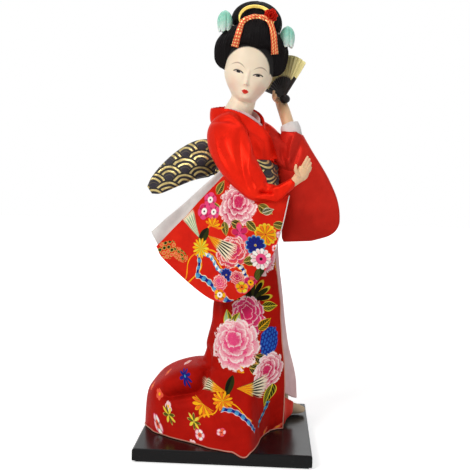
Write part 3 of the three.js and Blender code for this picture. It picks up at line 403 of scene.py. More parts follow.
# weave: crossed threads at their real pitch, with uneven tension
def makeWeave():
    inputs = {"Map": (0, 0, 0), "Pitch": 0.35, "Float": 0.3, "Pull": 1.0}
    tree, given, leave = makeGroup("weave", inputs, {"Height": "Float", "Shade": "Float"})
    x, y, _ = axes(given["Map"])
    k = fullTurn / given["Pitch"]
    warp = (x * k + y * k * given["Float"]).op("SINE")
    weft = (y * k * 0.5).op("SINE")
    uneven = noise(given["Map"], 0.16, 3.0)
    fine = noise(given["Map"], 2.4, 2.0)
    plug(leave["Height"], warp * 0.25 + weft * 0.12 + uneven * given["Pull"] * 6.0 + fine * 0.35)
    plug(leave["Shade"], (uneven - 0.5) * 0.3 + (fine - 0.5) * 0.25 + 1.0)
    return tree


weave = makeWeave()


# motifs of the print: each paints itself over the colour under it, in plain sums on the map's two lengths
def placed(given):  # the map seen from the motif's middle, turned and scaled
    sx, sy = (given["X"] - given["SpotX"]) / given["Size"], (given["Y"] - given["SpotY"]) / given["Size"]
    c, s = given["Turn"].op("COSINE"), given["Turn"].op("SINE")
    return sx * c + sy * s, (sy * c - sx * s) / given["Squeeze"]


def chance(i, j, a, b):  # an even number from 0 to 1 for each cell of a grid
    return ((i * a + j * b).op("SINE") * 437.585).op("FRACT")


def cells(x, y, jitter):  # distances from the middle of the nearest cell, and two chances for that cell
    i, j = x.op("FLOOR"), y.op("FLOOR")
    first, second = chance(i, j, 12.9898, 78.233), chance(i, j, 39.346, 11.135)
    dx = x - i - 0.5 - (first - 0.5) * jitter
    dy = y - j - 0.5 - (second - 0.5) * jitter
    return dx, dy, first, second


motifInputs = {
    "X": 0.0, "Y": 0.0, "Under": (0.5, 0.03, 0.01, 1), "SpotX": 0.0, "SpotY": 0.0, "Size": 10.0, "Turn": 0.0,
    "Squeeze": 1.0, "First": tint(250, 225, 225), "Second": tint(225, 70, 120), "Third": tint(250, 200, 60),
}
peonyRings = (  # radius, petals, lift and lean of each ring
    (1.0, 9.0, 0.0, 0.3), (0.8, 7.0, 0.1, 1.1), (0.58, 6.0, 0.16, 0.2), (0.34, 5.0, 0.2, 0.9),
)


def paintPeony(given):  # four ruffled rings of petals, pale at the rims and deep at the seams
    x, y = placed(given)
    ruffle, fringe = given["Ruffle"], given["Fringe"]
    color = given["Under"]
    for radius, petals, lift, lean in peonyRings:
        rise = y - lift
        r = hypot(x, rise) + ruffle * 0.34
        a = rise.op("ARCTAN2", x) + ruffle * 1.5
        petal = abs((a * (petals / 2) + lean).op("SINE"))
        edge = (petal ** 0.45) * (0.26 * radius) + fringe * 0.05 + 0.74 * radius
        f = r / edge
        deep = f.below(0.82, 0.36) + petal.below(0.3, 0.35) * 0.7 + fringe * 0.6
        paint = mix(deep.clip(), given["First"], given["Second"])
        paint = mix(f.above(0.93, 0.06) * 0.75, paint, tint(255, 246, 240))
        color = mix(f.below(1.0, 0.05), color, paint)
    return color


def paintRays(given):  # petals, points or feathers round a middle, in a whole turn or a fan
    x, y = placed(given)
    reach, turn = hypot(x, y), y.op("ARCTAN2", x)
    whole = turn * given["Petals"]
    petal = abs((whole * 0.5).op("COSINE"))
    edge = 1.0 - given["Cut"] * (1.0 - petal ** given["Sharp"])
    f = reach / edge
    other = (whole * 0.15915 + 0.5).op("FLOOR").op("PINGPONG", 1.0)
    paint = mix(other, given["First"], given["Second"])
    paint = mix(petal.below(0.34, 0.2) * 0.6, paint, tint(40, 20, 10))
    paint = mix(f.above(0.88, 0.06) * 0.85, paint, given["Rim"])
    paint = mix(reach.below(given["Disc"], 0.05), paint, given["Third"])
    paint = mix(reach.below(given["Disc"] * 0.3, 0.04), paint, tint(40, 20, 14))
    inside = f.below(1.0, 0.06) * abs(turn).below(given["Spread"], 0.06)
    return mix(inside, given["Under"], paint)


def paintLeaf(given):  # a pointed leaf along +x with a midrib, side veins and a fine outline
    x, y = placed(given)
    half = (x.op("MAXIMUM", 0.001).op("MINIMUM", 0.999) ** 0.75 * (fullTurn / 2)).op("SINE") * 0.3
    f = abs(y) / (half + 0.002)
    veins = ((x - abs(y) * 1.4) * 34.0).op("SINE").above(0.72, 0.3)
    paint = mix(y.above(0.0, 0.04), given["First"], given["Second"])
    paint = mix(veins * 0.45 + abs(y).below(0.022, 0.02), paint, given["Third"])
    paint = mix(f.above(0.84, 0.1), paint, given["Third"])
    inside = f.below(1.0, 0.08) * abs(x - 0.5).below(0.5, 0.01)
    return mix(inside, given["Under"], paint)


def paintPlume(given):  # a tail feather along +x: a wavy band of ovals between two pale lines
    x, y = placed(given)
    off = y - (x * 5.2).op("SINE") * given["Wave"]
    ripple = ((x * given["Beads"]) * fullTurn).op("COSINE")
    f = abs(off) / (given["Broad"] * (ripple * 0.18 + 0.9))
    paint = mix((ripple - f * 0.7).above(-0.35, 0.2), given["Second"], given["First"])
    paint = mix(off.above(0.0, 0.01) * 0.35, paint, given["Second"])
    paint = mix(f.above(0.78, 0.1), paint, given["Third"])
    inside = f.below(1.0, 0.1) * abs(x - 0.5).below(0.5, 0.02)
    return mix(inside, given["Under"], paint)


def paintSprinkle(given):  # small five-petalled blossoms and buds strewn over the cloth
    x, y, kind, lucky = cells(given["X"] / given["Size"], given["Y"] / given["Size"], 0.5)
    turn = y.op("ARCTAN2", x) + kind * 6.0
    petal = abs((turn * 2.5).op("COSINE")) ** 0.5
    f = hypot(x, y) / (given["Bloom"] * (petal * 0.4 + 0.6))
    paint = mix(kind.above(0.5, 0.01), given["First"], given["Second"])
    paint = mix(f.below(0.3, 0.1), paint, given["Third"])
    inside = f.below(1.0, 0.1) * lucky.below(given["Share"], 0.01)
    return mix(inside, given["Under"], paint)


def paintCluster(given):  # berries or scales: small cells crowded into an oval
    px, py = placed(given)
    rows = py * given["Grain"]
    shift = (rows.op("FLOOR") * 0.5).op("FRACT")
    x, y, kind, other = cells(px * given["Grain"] + shift, rows, 0.2)
    f = hypot(x, y) / given["Fill"]
    paint = mix(kind.above(0.55, 0.01), given["First"], given["Second"])
    paint = mix(f.above(0.68, 0.15) * 0.8, paint, given["Third"])
    edge = 1.0 - given["Ragged"] * other
    paint = mix(f.above(0.95, 0.1) * given["Solid"], paint, given["Third"])
    inside = f.below(1.0, 0.1).op("MAXIMUM", given["Solid"]) * hypot(px, py).below(edge, 0.02)
    return mix(inside, given["Under"], paint)


def makeMotif(name, paint, **more):  # a group for one motif, with its own inputs beside the common ones
    tree, given, leave = makeGroup(name, {**motifInputs, **more}, {"Color": "Color"})
    plug(leave["Color"], paint(given))
    return tree


rayInputs = {
    "Petals": 12.0, "Cut": 0.3, "Sharp": 0.5, "Spread": 3.3, "Disc": 0.16, "Rim": tint(250, 225, 160),
}
motifs = {
    "peony": makeMotif("peony", paintPeony, Ruffle=0.0, Fringe=0.0),
    "rays": makeMotif("rays", paintRays, **rayInputs),
    "leaf": makeMotif("leaf", paintLeaf),
    "plume": makeMotif("plume", paintPlume, Wave=0.1, Broad=0.07, Beads=7.0),
    "sprinkle": makeMotif("sprinkle", paintSprinkle, Share=0.3, Bloom=0.3),
    "cluster": makeMotif("cluster", paintCluster, Grain=5.0, Fill=0.4, Ragged=0.3, Solid=0.0),
}
inks = {
    "blush": tint(250, 206, 208), "pink": tint(232, 74, 128), "rose": tint(206, 40, 92),
    "coral": tint(238, 96, 70), "white": tint(250, 244, 236), "yellow": tint(250, 182, 25),
    "lemon": tint(235, 215, 60), "navy": tint(24, 38, 130), "sky": tint(80, 160, 205),
    "olive": tint(84, 88, 30), "moss": tint(42, 50, 20), "gold": tint(214, 180, 90),
    "jade": tint(150, 195, 150), "ink": tint(20, 22, 18), "cream": tint(244, 234, 200),
    "orange": tint(238, 120, 30), "blue": tint(44, 98, 186),
}


def paintPrint(tree, start, where, motifRows):  # motifs laid one over the other, each in its place on the map
    if not motifRows:
        return start
    color = start
    x, y, _ = axes(where)
    ruffle, fringe = noise(where, 0.24, 3.0, 0.6) - 0.5, noise(where, 1.1, 1.0) - 0.5
    for kind, spot, size, turn, colors, *more in motifRows:
        values = {"X": x, "Y": y, "Under": color, "SpotX": spot[0], "SpotY": spot[1], "Size": size}
        values["Turn"] = np.radians(turn)
        if kind == "peony":
            values.update({"Ruffle": ruffle, "Fringe": fringe})
        values.update({label: inks[c] for label, c in zip(("First", "Second", "Third"), colors.split())})
        for own in more:
            values.update({k: inks[v] if isinstance(v, str) else v for k, v in own.items()})
        color = use(tree, motifs[kind], values)["Color"]
    return color


# cloth finishes
def satin(name, color, deep, rough=0.36, motifRows=(), pull=0.5, metal=0.22, pitch=0.32, gloss=0.06):
    # a sheen that follows the threads, over a cloudy ground with the motifs on it
    made, tree, shader = newMaterial(name)
    where = clothMap(tree)
    threads = use(tree, weave, {"Map": where, "Pitch": pitch, "Pull": pull})
    ground = mix(((noise(where, 0.05, 3.0) - 0.3) * 1.6).clip(), deep, color)
    painted = paintPrint(tree, ground, where, motifRows)
    hue = node(tree, "HueSaturation", {"Color": painted, "Value": threads["Shade"]})
    dress(
        shader, hue, threads["Shade"] * rough, threads["Height"], 0.3, 0.1,
        Metallic=metal, Specular_IOR_Level=gloss, Specular_Tint=(1.0, 0.5, 0.42, 1),
    )
    return made


def brocadeFinish():  # rows of overlapping waves, gold rings on black silk
    wave = {"radius": 11.5, "rings": 3.6}
    radius = wave["radius"]
    made, tree, shader = newMaterial("brocade")
    where = clothMap(tree)
    x, y, _ = axes(where)
    wob = noise(where, 0.12, 2.0) - 0.5
    x, y = x + wob * 2.2, y + wob * 1.6
    row = (y / (radius / 2)).op("FLOOR")

    def reachTo(which):  # distance from the nearest wave's middle in a row, in radii
        shift = (which * 0.5).op("FRACT") * 2.0
        near = (x / (2 * radius) - shift * 0.5 + 0.5).op("FRACT") - 0.5
        return hypot(near * (2 * radius), y - which * (radius / 2)) / radius

    low, high = reachTo(row - 1.0), reachTo(row)
    onLow = low.below(1.0, 0.005)
    f = low * onLow + high * (1.0 - onLow)
    ring = (f * (wave["rings"] * fullTurn)).op("COSINE")
    gold = ring.above(0.2, 0.5) * f.above(0.34, 0.04)
    threads = use(tree, weave, {"Map": where, "Pitch": 0.5, "Float": 0.0, "Pull": 0.5})
    goldTint = mix(noise(where, 0.35, 2.0), tint(120, 96, 44), tint(236, 216, 150))
    color = mix(gold, mix(f, tint(34, 26, 38), tint(16, 13, 12)), goldTint)
    dress(
        shader, color, 0.62 - gold * 0.32, threads["Height"] + gold * 1.2, 0.5, 0.15,
        Metallic=gold * 0.8, Sheen_Weight=0.1, Specular_IOR_Level=0.4,
    )
    return made


def plainCloth(name, color, deep, rough=0.7, pitch=0.4):  # the satin's weave without print or metal
    return satin(name, color, deep, rough, (), 0.6, 0.0, pitch)


# print rows: kind, middle on the map in mm, size, turn, colours, more
blossom = {"Petals": 5.0, "Cut": 0.2, "Disc": 0.42, "Rim": "pink"}
mum = {"Petals": 15.0, "Cut": 0.2, "Disc": 0.14, "Rim": "lemon"}
daisy = {"Petals": 13.0, "Cut": 0.26, "Disc": 0.5, "Rim": "white"}
aster = {"Petals": 11.0, "Cut": 0.26, "Disc": 0.12, "Rim": "sky"}
star = {"Petals": 8.0, "Cut": 0.66, "Sharp": 1.2, "Disc": 0.12, "Rim": "gold"}
burst = {"Petals": 14.0, "Cut": 0.42, "Sharp": 1.0, "Disc": 0.05, "Rim": "yellow"}
wing = {"Petals": 110.0, "Cut": 0.16, "Spread": 0.26, "Disc": 0.04, "Rim": "cream"}
broadWing = {**wing, "Cut": 0.3}
innerWing = {**broadWing, "Petals": 70.0, "Rim": "gold"}
lily = {"Petals": 5.0, "Cut": 0.5, "Sharp": 0.9, "Rim": "coral"}
berries = {"Squeeze": 0.66, "Grain": 3.6, "Fill": 0.54, "Ragged": 0.12, "Solid": 1.0}
leafFan = {"Petals": 13.0, "Cut": 0.5, "Sharp": 0.8, "Spread": 1.75, "Disc": 0.03, "Rim": "lemon"}
thin = {"Broad": 0.022, "Beads": 1.0}
panelPrint = [
    ("leaf", (-4, 164), 11, 60, "moss olive gold"),
    ("leaf", (0, 150), 12, 130, "olive moss gold"),
    ("leaf", (30, 158), 11, -30, "moss olive gold"),
    ("leaf", (33, 153), 8, 20, "olive moss cream"),
    ("peony", (14, 157), 15, -20, "blush rose yellow", {"Squeeze": 1.05}),
    ("rays", (-9, 160), 5.2, 10, "pink pink white", blossom),
    ("rays", (-13, 152), 5.6, 50, "pink rose white", blossom),
    ("rays", (-5, 152), 5.0, 30, "pink pink white", blossom),
    ("leaf", (4, 146), 10, -75, "moss olive gold"),
    ("leaf", (10, 146), 11, -20, "moss ink gold"),
    ("leaf", (22, 147), 10, -40, "olive moss gold"),
    ("rays", (17, 139), 7.2, 100, "pink rose pink", lily),
    ("rays", (-14, 133), 22, 130, "jade cream jade", wing),
    ("plume", (-9, 139), 13, 25, "yellow orange lemon", {"Broad": 0.05, "Wave": 0.2}),
    ("rays", (-5, 142), 6.5, 70, "yellow orange lemon", {**burst, "Spread": 1.5}),
    ("leaf", (-8, 141), 16, -123, "ink moss moss", {"Squeeze": 0.7}),
    ("plume", (-13, 125), 29, -12, "orange yellow yellow", thin),
    ("plume", (-13, 124), 27, -24, "orange yellow yellow", thin),
    ("plume", (-16, 124), 30, -99, "orange yellow yellow", {**thin, "Wave": 0.16}),
    ("plume", (-18, 123), 22, -118, "orange yellow yellow", {**thin, "Wave": -0.1}),
    ("peony", (12, 126), 13, 15, "coral rose yellow", {"Squeeze": 0.85}),
    ("rays", (-8, 136), 24, -29, "ink cream yellow", {**broadWing, "Spread": 0.3}),
    ("rays", (-8, 136), 12, -31, "yellow orange lemon", {**innerWing, "Spread": 0.34}),
    ("plume", (-11, 123), 18, -30, "sky white navy", {"Broad": 0.1, "Beads": 5.0}),
    ("plume", (-16, 123), 17, -84, "sky navy cream", {"Broad": 0.1, "Beads": 3.5, "Wave": 0.06}),
    ("plume", (-15, 108), 31, -30, "sky navy cream", {"Broad": 0.075, "Beads": 6.0, "Wave": 0.05}),
    ("rays", (-13.6, 127), 7, 0, "lemon yellow lemon", burst),
    ("rays", (35, 139), 7.4, 0, "yellow orange orange", mum),
    ("leaf", (40, 146), 9, -10, "olive moss gold"),
    ("rays", (28, 131.5), 7, 0, "navy navy gold", aster),
    ("leaf", (20, 120), 11, 12, "moss olive gold"),
    ("leaf", (31, 117), 16, -96, "olive moss moss", {"Squeeze": 0.8}),
    ("rays", (31.5, 122.5), 7.2, 0, "blush white pink", daisy),
    ("plume", (15, 118), 14, -48, "white navy yellow", {"Broad": 0.14, "Beads": 4.0}),
    ("rays", (8, 110.5), 4.8, 0, "navy navy gold", aster),
    ("peony", (3, 105), 5.5, 40, "coral pink yellow"),
    ("peony", (15.5, 109), 5.0, 0, "coral rose yellow"),
    ("rays", (24, 106), 4.6, 0, "rose coral yellow", blossom),
    ("rays", (3, 96.5), 4.6, 0, "yellow orange white", blossom),
    ("rays", (18, 102.5), 4.6, 20, "yellow lemon orange", blossom),
    ("cluster", (-42, 124), 9, 20, "moss coral gold", {"Squeeze": 0.8, "Grain": 2.3, "Fill": 0.46}),
    ("cluster", (-31, 121), 8, -30, "olive coral gold", {"Squeeze": 0.6, "Grain": 2.2, "Fill": 0.46}),
    ("rays", (44.5, 139), 3.0, 0, "blush white pink", blossom),
    ("rays", (41, 130), 2.6, 0, "blush white coral", blossom),
]
skirtPrint = [
    ("sprinkle", (0, 0), 15, 0, "blush coral yellow", {"Share": 0.2, "Bloom": 0.2}),
    ("peony", (-60, -62), 15, 30, "blush pink yellow"),
    ("rays", (-42, -50), 7, 0, "yellow orange orange", mum),
    ("leaf", (-46, -62), 12, 40, "olive moss gold"),
    ("rays", (-78, -46), 6.5, 0, "navy navy gold", aster),
    ("peony", (-84, -104), 14, -20, "coral rose yellow"),
    ("rays", (-66, -88), 7, 0, "blush white pink", daisy),
    ("leaf", (-74, -92), 12, -60, "moss olive gold"),
    ("peony", (-52, -108), 12, 10, "pink rose yellow"),
    ("rays", (-66, -124), 7, 0, "yellow orange orange", mum),
    ("plume", (-98, -62), 34, -70, "sky navy cream", {"Beads": 7.0}),
    ("rays", (-20, -52), 6.5, 0, "navy navy gold", aster),
    ("peony", (-24, -70), 11, 0, "coral rose yellow"),
    ("peony", (6, -56), 13, 60, "blush pink yellow"),
    ("rays", (24, -62), 6, 0, "yellow orange orange", mum),
    ("rays", (1, -85), 15, 90, "moss ink moss", leafFan),
    ("leaf", (8, -90), 12, 0, "olive moss lemon"),
    ("peony", (-2, -97), 13, 15, "pink rose yellow", {"Squeeze": 1.15}),
    ("leaf", (-16, -106), 13, 105, "olive jade lemon"),
    ("leaf", (-14, -105), 12, 62, "jade olive lemon"),
    ("leaf", (6, -106), 12, 40, "olive moss yellow"),
    ("leaf", (4, -124), 14, -28, "ink moss gold"),
    ("leaf", (0, -132), 13, -10, "ink moss gold"),
    ("cluster", (14, -114), 11, 75, "blue blue navy", berries),
    ("rays", (-12, -133), 9, 60, "yellow orange lemon", {**burst, "Spread": 1.6}),
    ("peony", (-11, -117), 18.5, 20, "blush pink yellow"),
    ("peony", (15, -135), 14, 70, "blush rose yellow", {"Squeeze": 0.78}),
    ("leaf", (-11, -138), 18, -105, "ink moss moss", {"Squeeze": 0.5}),
    ("rays", (-8, -147), 24, 6, "ink cream yellow", {**broadWing, "Spread": 0.36}),
    ("rays", (-8, -147), 13, 2, "yellow orange lemon", {**innerWing, "Spread": 0.4}),
    ("rays", (-15, -150), 19, 176, "cream olive gold", {**broadWing, "Spread": 0.3}),
    ("rays", (-15, -150), 11, 178, "orange yellow gold", {**innerWing, "Spread": 0.34}),
    ("rays", (-30, -163), 8, -110, "yellow orange lemon", {**burst, "Spread": 1.7}),
    ("rays", (-17, -157), 7, 0, "orange yellow lemon", burst),
    ("plume", (-17, -158), 24, -22, "orange yellow yellow", thin),
    ("plume", (-19, -158), 22, -128, "orange yellow yellow", thin),
    ("plume", (-17, -163), 30, -20, "sky navy blush", {"Beads": 6.0, "Wave": 0.07}),
    ("leaf", (20, -144), 15, -85, "olive moss lemon"),
    ("plume", (23, -156), 16, -95, "sky navy jade", {"Broad": 0.12, "Beads": 4.0}),
    ("rays", (-45, -153), 5, 0, "navy navy sky", {**star, "Rim": "navy"}),
    ("rays", (-56, -180), 5, 20, "olive lemon gold", star),
    ("rays", (-37, -176), 5, 0, "olive lemon gold", star),
    ("rays", (-68, -190), 4.4, 0, "blush white coral", blossom),
    ("rays", (-33, -183), 4.0, 0, "blush white coral", blossom),
    ("rays", (-17, -179), 3.4, 0, "blush coral coral", blossom),
]

redSatin = satin("redSatin", tint(232, 40, 18), tint(214, 30, 15), 0.3, (), 0.5, 0.4)
sleeveRed = satin("sleeveRed", tint(204, 44, 32), tint(188, 36, 27), 0.38)
panelSatin = satin("panelSatin", tint(230, 46, 24), tint(208, 30, 20), 0.4, panelPrint, 0.5, 0.08)
# the skirt's satin is a darker copy of the bodice's red: painted shade for the lower skirt and train
shadedSkirtSatin = satin(
    "shadedSkirtSatin", tint(198, 28, 17), tint(164, 20, 13), 0.45, skirtPrint, 0.5, 0.04, gloss=0.03,
)
redLining = satin("redLining", tint(222, 52, 34), tint(180, 30, 20), 0.45)
underSatin = satin("underSatin", tint(220, 194, 192), tint(194, 158, 160), 0.42)
whiteLining = plainCloth("whiteLining", tint(240, 236, 232), tint(220, 213, 210))
collarCloth = plainCloth("collarCloth", tint(238, 218, 218), tint(214, 186, 188))
piping = satin("piping", tint(214, 160, 142), tint(176, 112, 96), 0.45)
brocade = brocadeFinish()
print("cloth finishes made")

# the figure's own directions and middle line
front, side, up = np.array([0.766, -0.6428, 0]), np.array([-0.6428, -0.766, 0]), np.array([0, 0, 1.0])
bodyLine = [[0, 15, 10], [141, 15, 7], [171, 13, 7], [196, 10, 6], [217, 5, 2]]
neckBase = np.array([5.0, 2.0, 217.0])
waistTop = 185.0


def bodyAt(h):  # the body's middle at a height
    h = np.asarray(h, float)
    return np.concatenate([through(bodyLine, h), h[..., None]], -1)


def aroundBody(h, turn, halfSide, halfFront):  # a point on an oval round the body
    a, b = halfSide * np.cos(turn), halfFront * np.sin(turn)
    return bodyAt(h) + side * a[..., None] + front * b[..., None]


# kimono skirt and train: half widths at each height, and the hem's reach and lobe in each direction
skirt = {
    "rows": [[0, 33, 29], [45, 30, 25.5], [76, 25.5, 22], [98, 23, 20], [125, 19.5, 17.5], [141, 18.5, 17],
             [155, 16.5, 15.5], [177, 15.5, 14.5]],
    "hem": [[-311, 31, 0], [-302, 32, 0], [-270, 36, 0.1], [-240, 48, 0.4], [-212, 66, 0.9], [-188, 74, 1],
            [-164, 71, 0.95], [-140, 68, 0.5], [-116, 68, 0.12], [-106, 71, 0], [-98, 72.5, 0],
            [-91, 73, 0], [-87, 70, 0], [-83, 60, 0], [-76, 43, 0], [-60, 32, 0], [-24, 29, 0]],
    "top": 177.0, "low": 0.35, "turns": (-311.0, -33.0), "lobe": 43.5, "slope": 62.0, "base": 33.0,
    "wall": 0.9, "anchor": 198, "piping": 0.42, "pipingTop": 120,
}
# how the hem bends over the board's edge
overBoard = {"edge": 57.0, "round": 2.4, "start": 1.0, "fall": 1.25, "clear": 0.9}


def columnReach(turn, h):  # radius of the oval column: 1 over the length of (cos / half x, sin / half y)
    half = through(skirt["rows"], h)
    a = np.radians(turn)
    return 1 / np.hypot(np.cos(a) / half[..., 0], np.sin(a) / half[..., 1])


def skirtReach(turn, h):
    # the oval column, plus a rounded lobe for the padded train and a flared slope elsewhere
    a = np.radians(turn)
    reach, lobe = np.moveaxis(through(skirt["hem"], turn), -1, 0)
    dome = np.clip(1 - np.minimum(h / skirt["lobe"], 1) ** 2.7, 0, 1) ** 0.55
    flare = lobe * dome + (1 - lobe) * np.maximum(0, 1 - h / skirt["slope"]) ** 2.4
    left = (1.8 + 2.8 * ease(78 - h, 0, 30)) * bell(turn, -178, 45) * ease(120 - h, 0, 30)
    ripple = 0.9 * np.sin(a * 9 + 0.03 * h) * (1 - h / skirt["top"])
    return columnReach(turn, h) + left + (reach - skirt["base"]) * flare + ripple


def polarPoint(turn, h, reach):  # a point so far from the body's middle, in a direction in degrees
    a = np.radians(turn)
    return bodyAt(h) + stack(reach * np.cos(a), reach * np.sin(a), 0 * reach)


def skirtPoint(turn, h, out=0.0):  # a point on the skirt, moved outward
    return polarPoint(turn, h, skirtReach(turn, h) + out)


def overEdge(spots):  # cloth past the board's edge bends down over it and stops short of the floor
    bend = overBoard["round"]
    for axis in (1, 0):
        past = np.maximum(0, -spots[..., axis] - overBoard["edge"])
        spots[..., axis] += past - bend * (1 - np.exp(-past / bend))
        spots[..., 2] -= np.maximum(0, past - overBoard["start"]) * overBoard["fall"]
    spots[..., 2] = np.maximum(spots[..., 2], overBoard["clear"] - boardTop)
    return spots


def skirtFolds(turn, h):  # drape lines down the column, pulled ones across it, and puckers along the hem
    a = np.radians(turn)
    column = 0.55 * np.sin(a * 13 + h * 0.035) * ease(h, 20, 90) * ease(180 - h, 0, 60)
    pulled = 0.7 * np.sin(a * 5 + h * 0.11 + 1.0) ** 3 * bell(h, 95, 45)
    hem = 0.35 * np.sin(a * 21 + np.sin(a * 7) * 1.4) * np.exp(-h / 9)
    seat = 0.9 * np.sin(a * 11 - h * 0.16) * bell(h, 34, 16) * ease(-turn, 110, 150)
    tip = 3.5 * bell(turn, -90, 6) * np.exp(-h / 7)
    return column + pulled + hem + seat + tip


trainFolds = [  # lines of (x, z), width and rise: the crease under the padded lobe and the swells beside it
    ([(-47, 25), (-43, 23.5), (-35.4, 26.2), (-29.6, 27.8), (-23.6, 30), (-20, 32.2), (-16.9, 36.1),
      (-15.4, 41.1), (-15.2, 47), (-15.6, 53)], 2.4, -8.5),
    ([(-38, 20.6), (-30, 22.4), (-22, 24.6), (-15, 28)], 1.6, 1.5),
    ([(-44, 33), (-34, 35.5), (-26, 38), (-21, 41)], 6.0, 2.0),
    ([(-46, 15), (-32, 18), (-18, 20), (-6, 24)], 7.0, 1.8),
    ([(-8, 44), (-4, 30), (4, 14), (12, 3)], 5.0, 1.4),
    ([(-14, 28), (-6, 16), (2, 5)], 3.0, -1.6),
    ([(16, 52), (20, 36), (26, 20), (34, 6)], 4.0, -1.0),
]
heights = np.concatenate([np.linspace(skirt["top"], 46, 80), np.linspace(45, skirt["low"], 70)])
turnGrid, heightGrid = gridOf(np.linspace(*skirt["turns"], 250), heights)
spots = overEdge(skirtPoint(turnGrid, heightGrid, skirtFolds(turnGrid, heightGrid)))
skirtCloth = makeMesh("skirtCloth", [{"spots": spots, "flip": True, "anchor": skirt["anchor"]}])
foldLines(skirtCloth, trainFolds, (-0.5, 0.0))
thicken(skirtCloth, skirt["wall"], 1)
settle(skirtCloth, [shadedSkirtSatin, redLining], "figure", "printed_satin", "kimono_skirt", "train_wadding")

first, last = skirt["turns"]
edgeTurn = np.concatenate([np.full(60, last), np.linspace(last, first, 300), np.full(60, first)])
rise = np.linspace(1, skirt["pipingTop"], 60)
edgeHeight = np.concatenate([rise[::-1], np.full(300, 0.6), rise])
edge = overEdge(skirtPoint(edgeTurn, edgeHeight, skirtFolds(edgeTurn, edgeHeight) + 0.15))
edgeCord = cord(edge, skirt["piping"], (0.5, 0.3, 0.8), 900)
sew("skirtPiping", [edgeCord], piping, "figure", "printed_satin")

# under-kimono: it shows between the skirt's two edges and spreads over the foot
underSkirt = {"turns": (-46, 66), "top": 176, "fall": 149, "dip": 10, "inset": 2.0, "flare": 4.6, "wall": 0.8}
turnGrid, drop = gridOf(np.linspace(*underSkirt["turns"], 90), np.linspace(0, 1, 110))
heightGrid = underSkirt["top"] - drop * (underSkirt["fall"] + underSkirt["dip"] * bell(turnGrid, 10, 30))
flare = underSkirt["flare"] * bell(turnGrid, 14, 20) * ease(64 - heightGrid, 2, 36)
crease = 0.5 * np.sin(np.radians(turnGrid) * 12 + heightGrid * 0.04) + 0.4 * bell(turnGrid, 6, 4)
reach = columnReach(turnGrid, heightGrid) - underSkirt["inset"] + crease + flare
grids = [{"spots": polarPoint(turnGrid, heightGrid, reach), "flip": True}]
sew("underCloth", grids, underSatin, "figure", "under_satin", "under_skirt", wall=underSkirt["wall"])

# the skirt's lining, turned back at the front corner and tapering to a point above the foot
flap = {"turns": (-46, 14), "tip": 9.4, "dip": 8.9, "tall": 22.5, "wall": 0.7}
turnGrid, drop = gridOf(np.linspace(*flap["turns"], 60), np.linspace(1, 0, 50))
narrow = np.clip((14.5 - turnGrid) / 44, 0, 1) ** 0.75
heightGrid = flap["tip"] - flap["dip"] * narrow + drop * flap["tall"] * narrow
back = 2.4 - 5 * np.maximum(0, (turnGrid + 30) / 44)
ripple = 0.6 * np.sin(np.radians(turnGrid) * 14 + heightGrid * 0.12) * ease(30 - heightGrid, 2, 20) * narrow
grids = [{"spots": skirtPoint(turnGrid, heightGrid, ripple - back), "flip": True}]
sew("flapCloth", grids, redLining, "figure", "red_satin", "lining_flap", wall=flap["wall"])
print("skirt done")

# feet in plain socks, each with a shaft up along the leg wire
sock = {
    "sole": [[-6, 6, 3.2, 3.4], [4, 5.2, 4.6, 4.4], [11, 4.2, 4.9, 3.6], [16.5, 3.4, 2.4, 1.8]],
    "shin": [[3.5, 4, 4.4], [14, 3.6, 3.9], [26, 4.0, 4.2]],
    "shaft": [[42, 3.8, 4], [60, 3.8, 4]],
}


def sockFoot(name, ankle, along, lean, nodeName):  # limbs along the sole and up the shin, grown together
    ankle, along = np.array(ankle, float), unit(np.array(along, float))
    across = np.cross(up, along)
    foot = [[*(ankle + along * s + up * z), a, b] for s, z, a, b in sock["sole"]]
    shin = [[*(ankle + up * z), a, b] for z, a, b in sock["shin"]]
    shin += [[*(ankle + np.array(lean) * (z - 24) / 46 + up * z), a, b] for z, a, b in sock["shaft"]]
    made = makeMesh(name, [ringGrid(limb(foot, across, 28, 30)), ringGrid(limb(shin, across, 28, 24))])
    fuse(made, 0.45, 12)
    return settle(made, sockCloth, "figure", "sock", nodeName)


sockCloth = plainCloth("sockCloth", tint(222, 200, 172), tint(198, 172, 140), 0.75)
sockFoot("leftSock", (40, 27, 0), (0.97, 0.22, 0), (-9, -10, 0), "left_foot")
sockFoot("rightSock", (13, 4, 0), front, (-1, 1, 0), "right_foot")

# bodice, collars and obi
torso = {
    "rows": [[170, 16.6, 15.2], [177, 17.4, 15.4], [189, 18.6, 16.4], [200, 20.6, 16.6], [208, 20.8, 14.2],
             [212, 16.6, 11.2], [215, 11.5, 8.6]],
    "low": 171, "high": 214.8, "loose": 0.3,
}
h, turn = ringRows(np.linspace(torso["low"], torso["high"], 90), 160)
half = through(torso["rows"], h) + torso["loose"]
fold = 0.5 * np.sin(turn * 4 + h * 0.23) * bell(h, 196, 16)
fold = fold + 0.3 * np.sin(turn * 9 - h * 0.31) * bell(h, 190, 12)
bodice = aroundBody(h, turn, half[..., 0] + fold, half[..., 1] + fold)
outerCollar = [  # middle line of the band: under the crossing, round the nape and down to the waist
    (18, -6.5, 203), (20.4, -3.4, 208.6), (18.4, 5, 214.4), (12.4, 12.6, 219.4), (3, 17.4, 221.6),
    (-8, 16, 221.4), (-15.6, 9, 219.8), (-15.8, -1, 218.2), (-7.5, -8.8, 218), (1, -11.8, 216),
    (9, -12.2, 212.2), (17, -8.6, 207), (23, -5, 201), (26.5, -0.2, 193), (27, 0.2, 185),
]
innerCollar = [
    (17.8, -3, 208), (16, 4, 214), (11, 10.5, 218.4), (3, 15, 219.2), (-6.5, 13.6, 219),
    (-12, 7.5, 218.2), (-12, -0.5, 217.6), (-6, -7, 217.8), (1.6, -10.2, 217), (9.6, -10.6, 213.9),
    (16.8, -7.2, 208.6), (20, -4, 203.6),
]


def collarBand(points, half, deep):  # a flat band that stands on edge along a line
    return limb([[*p, half, deep] for p in points], up, 40, 260)


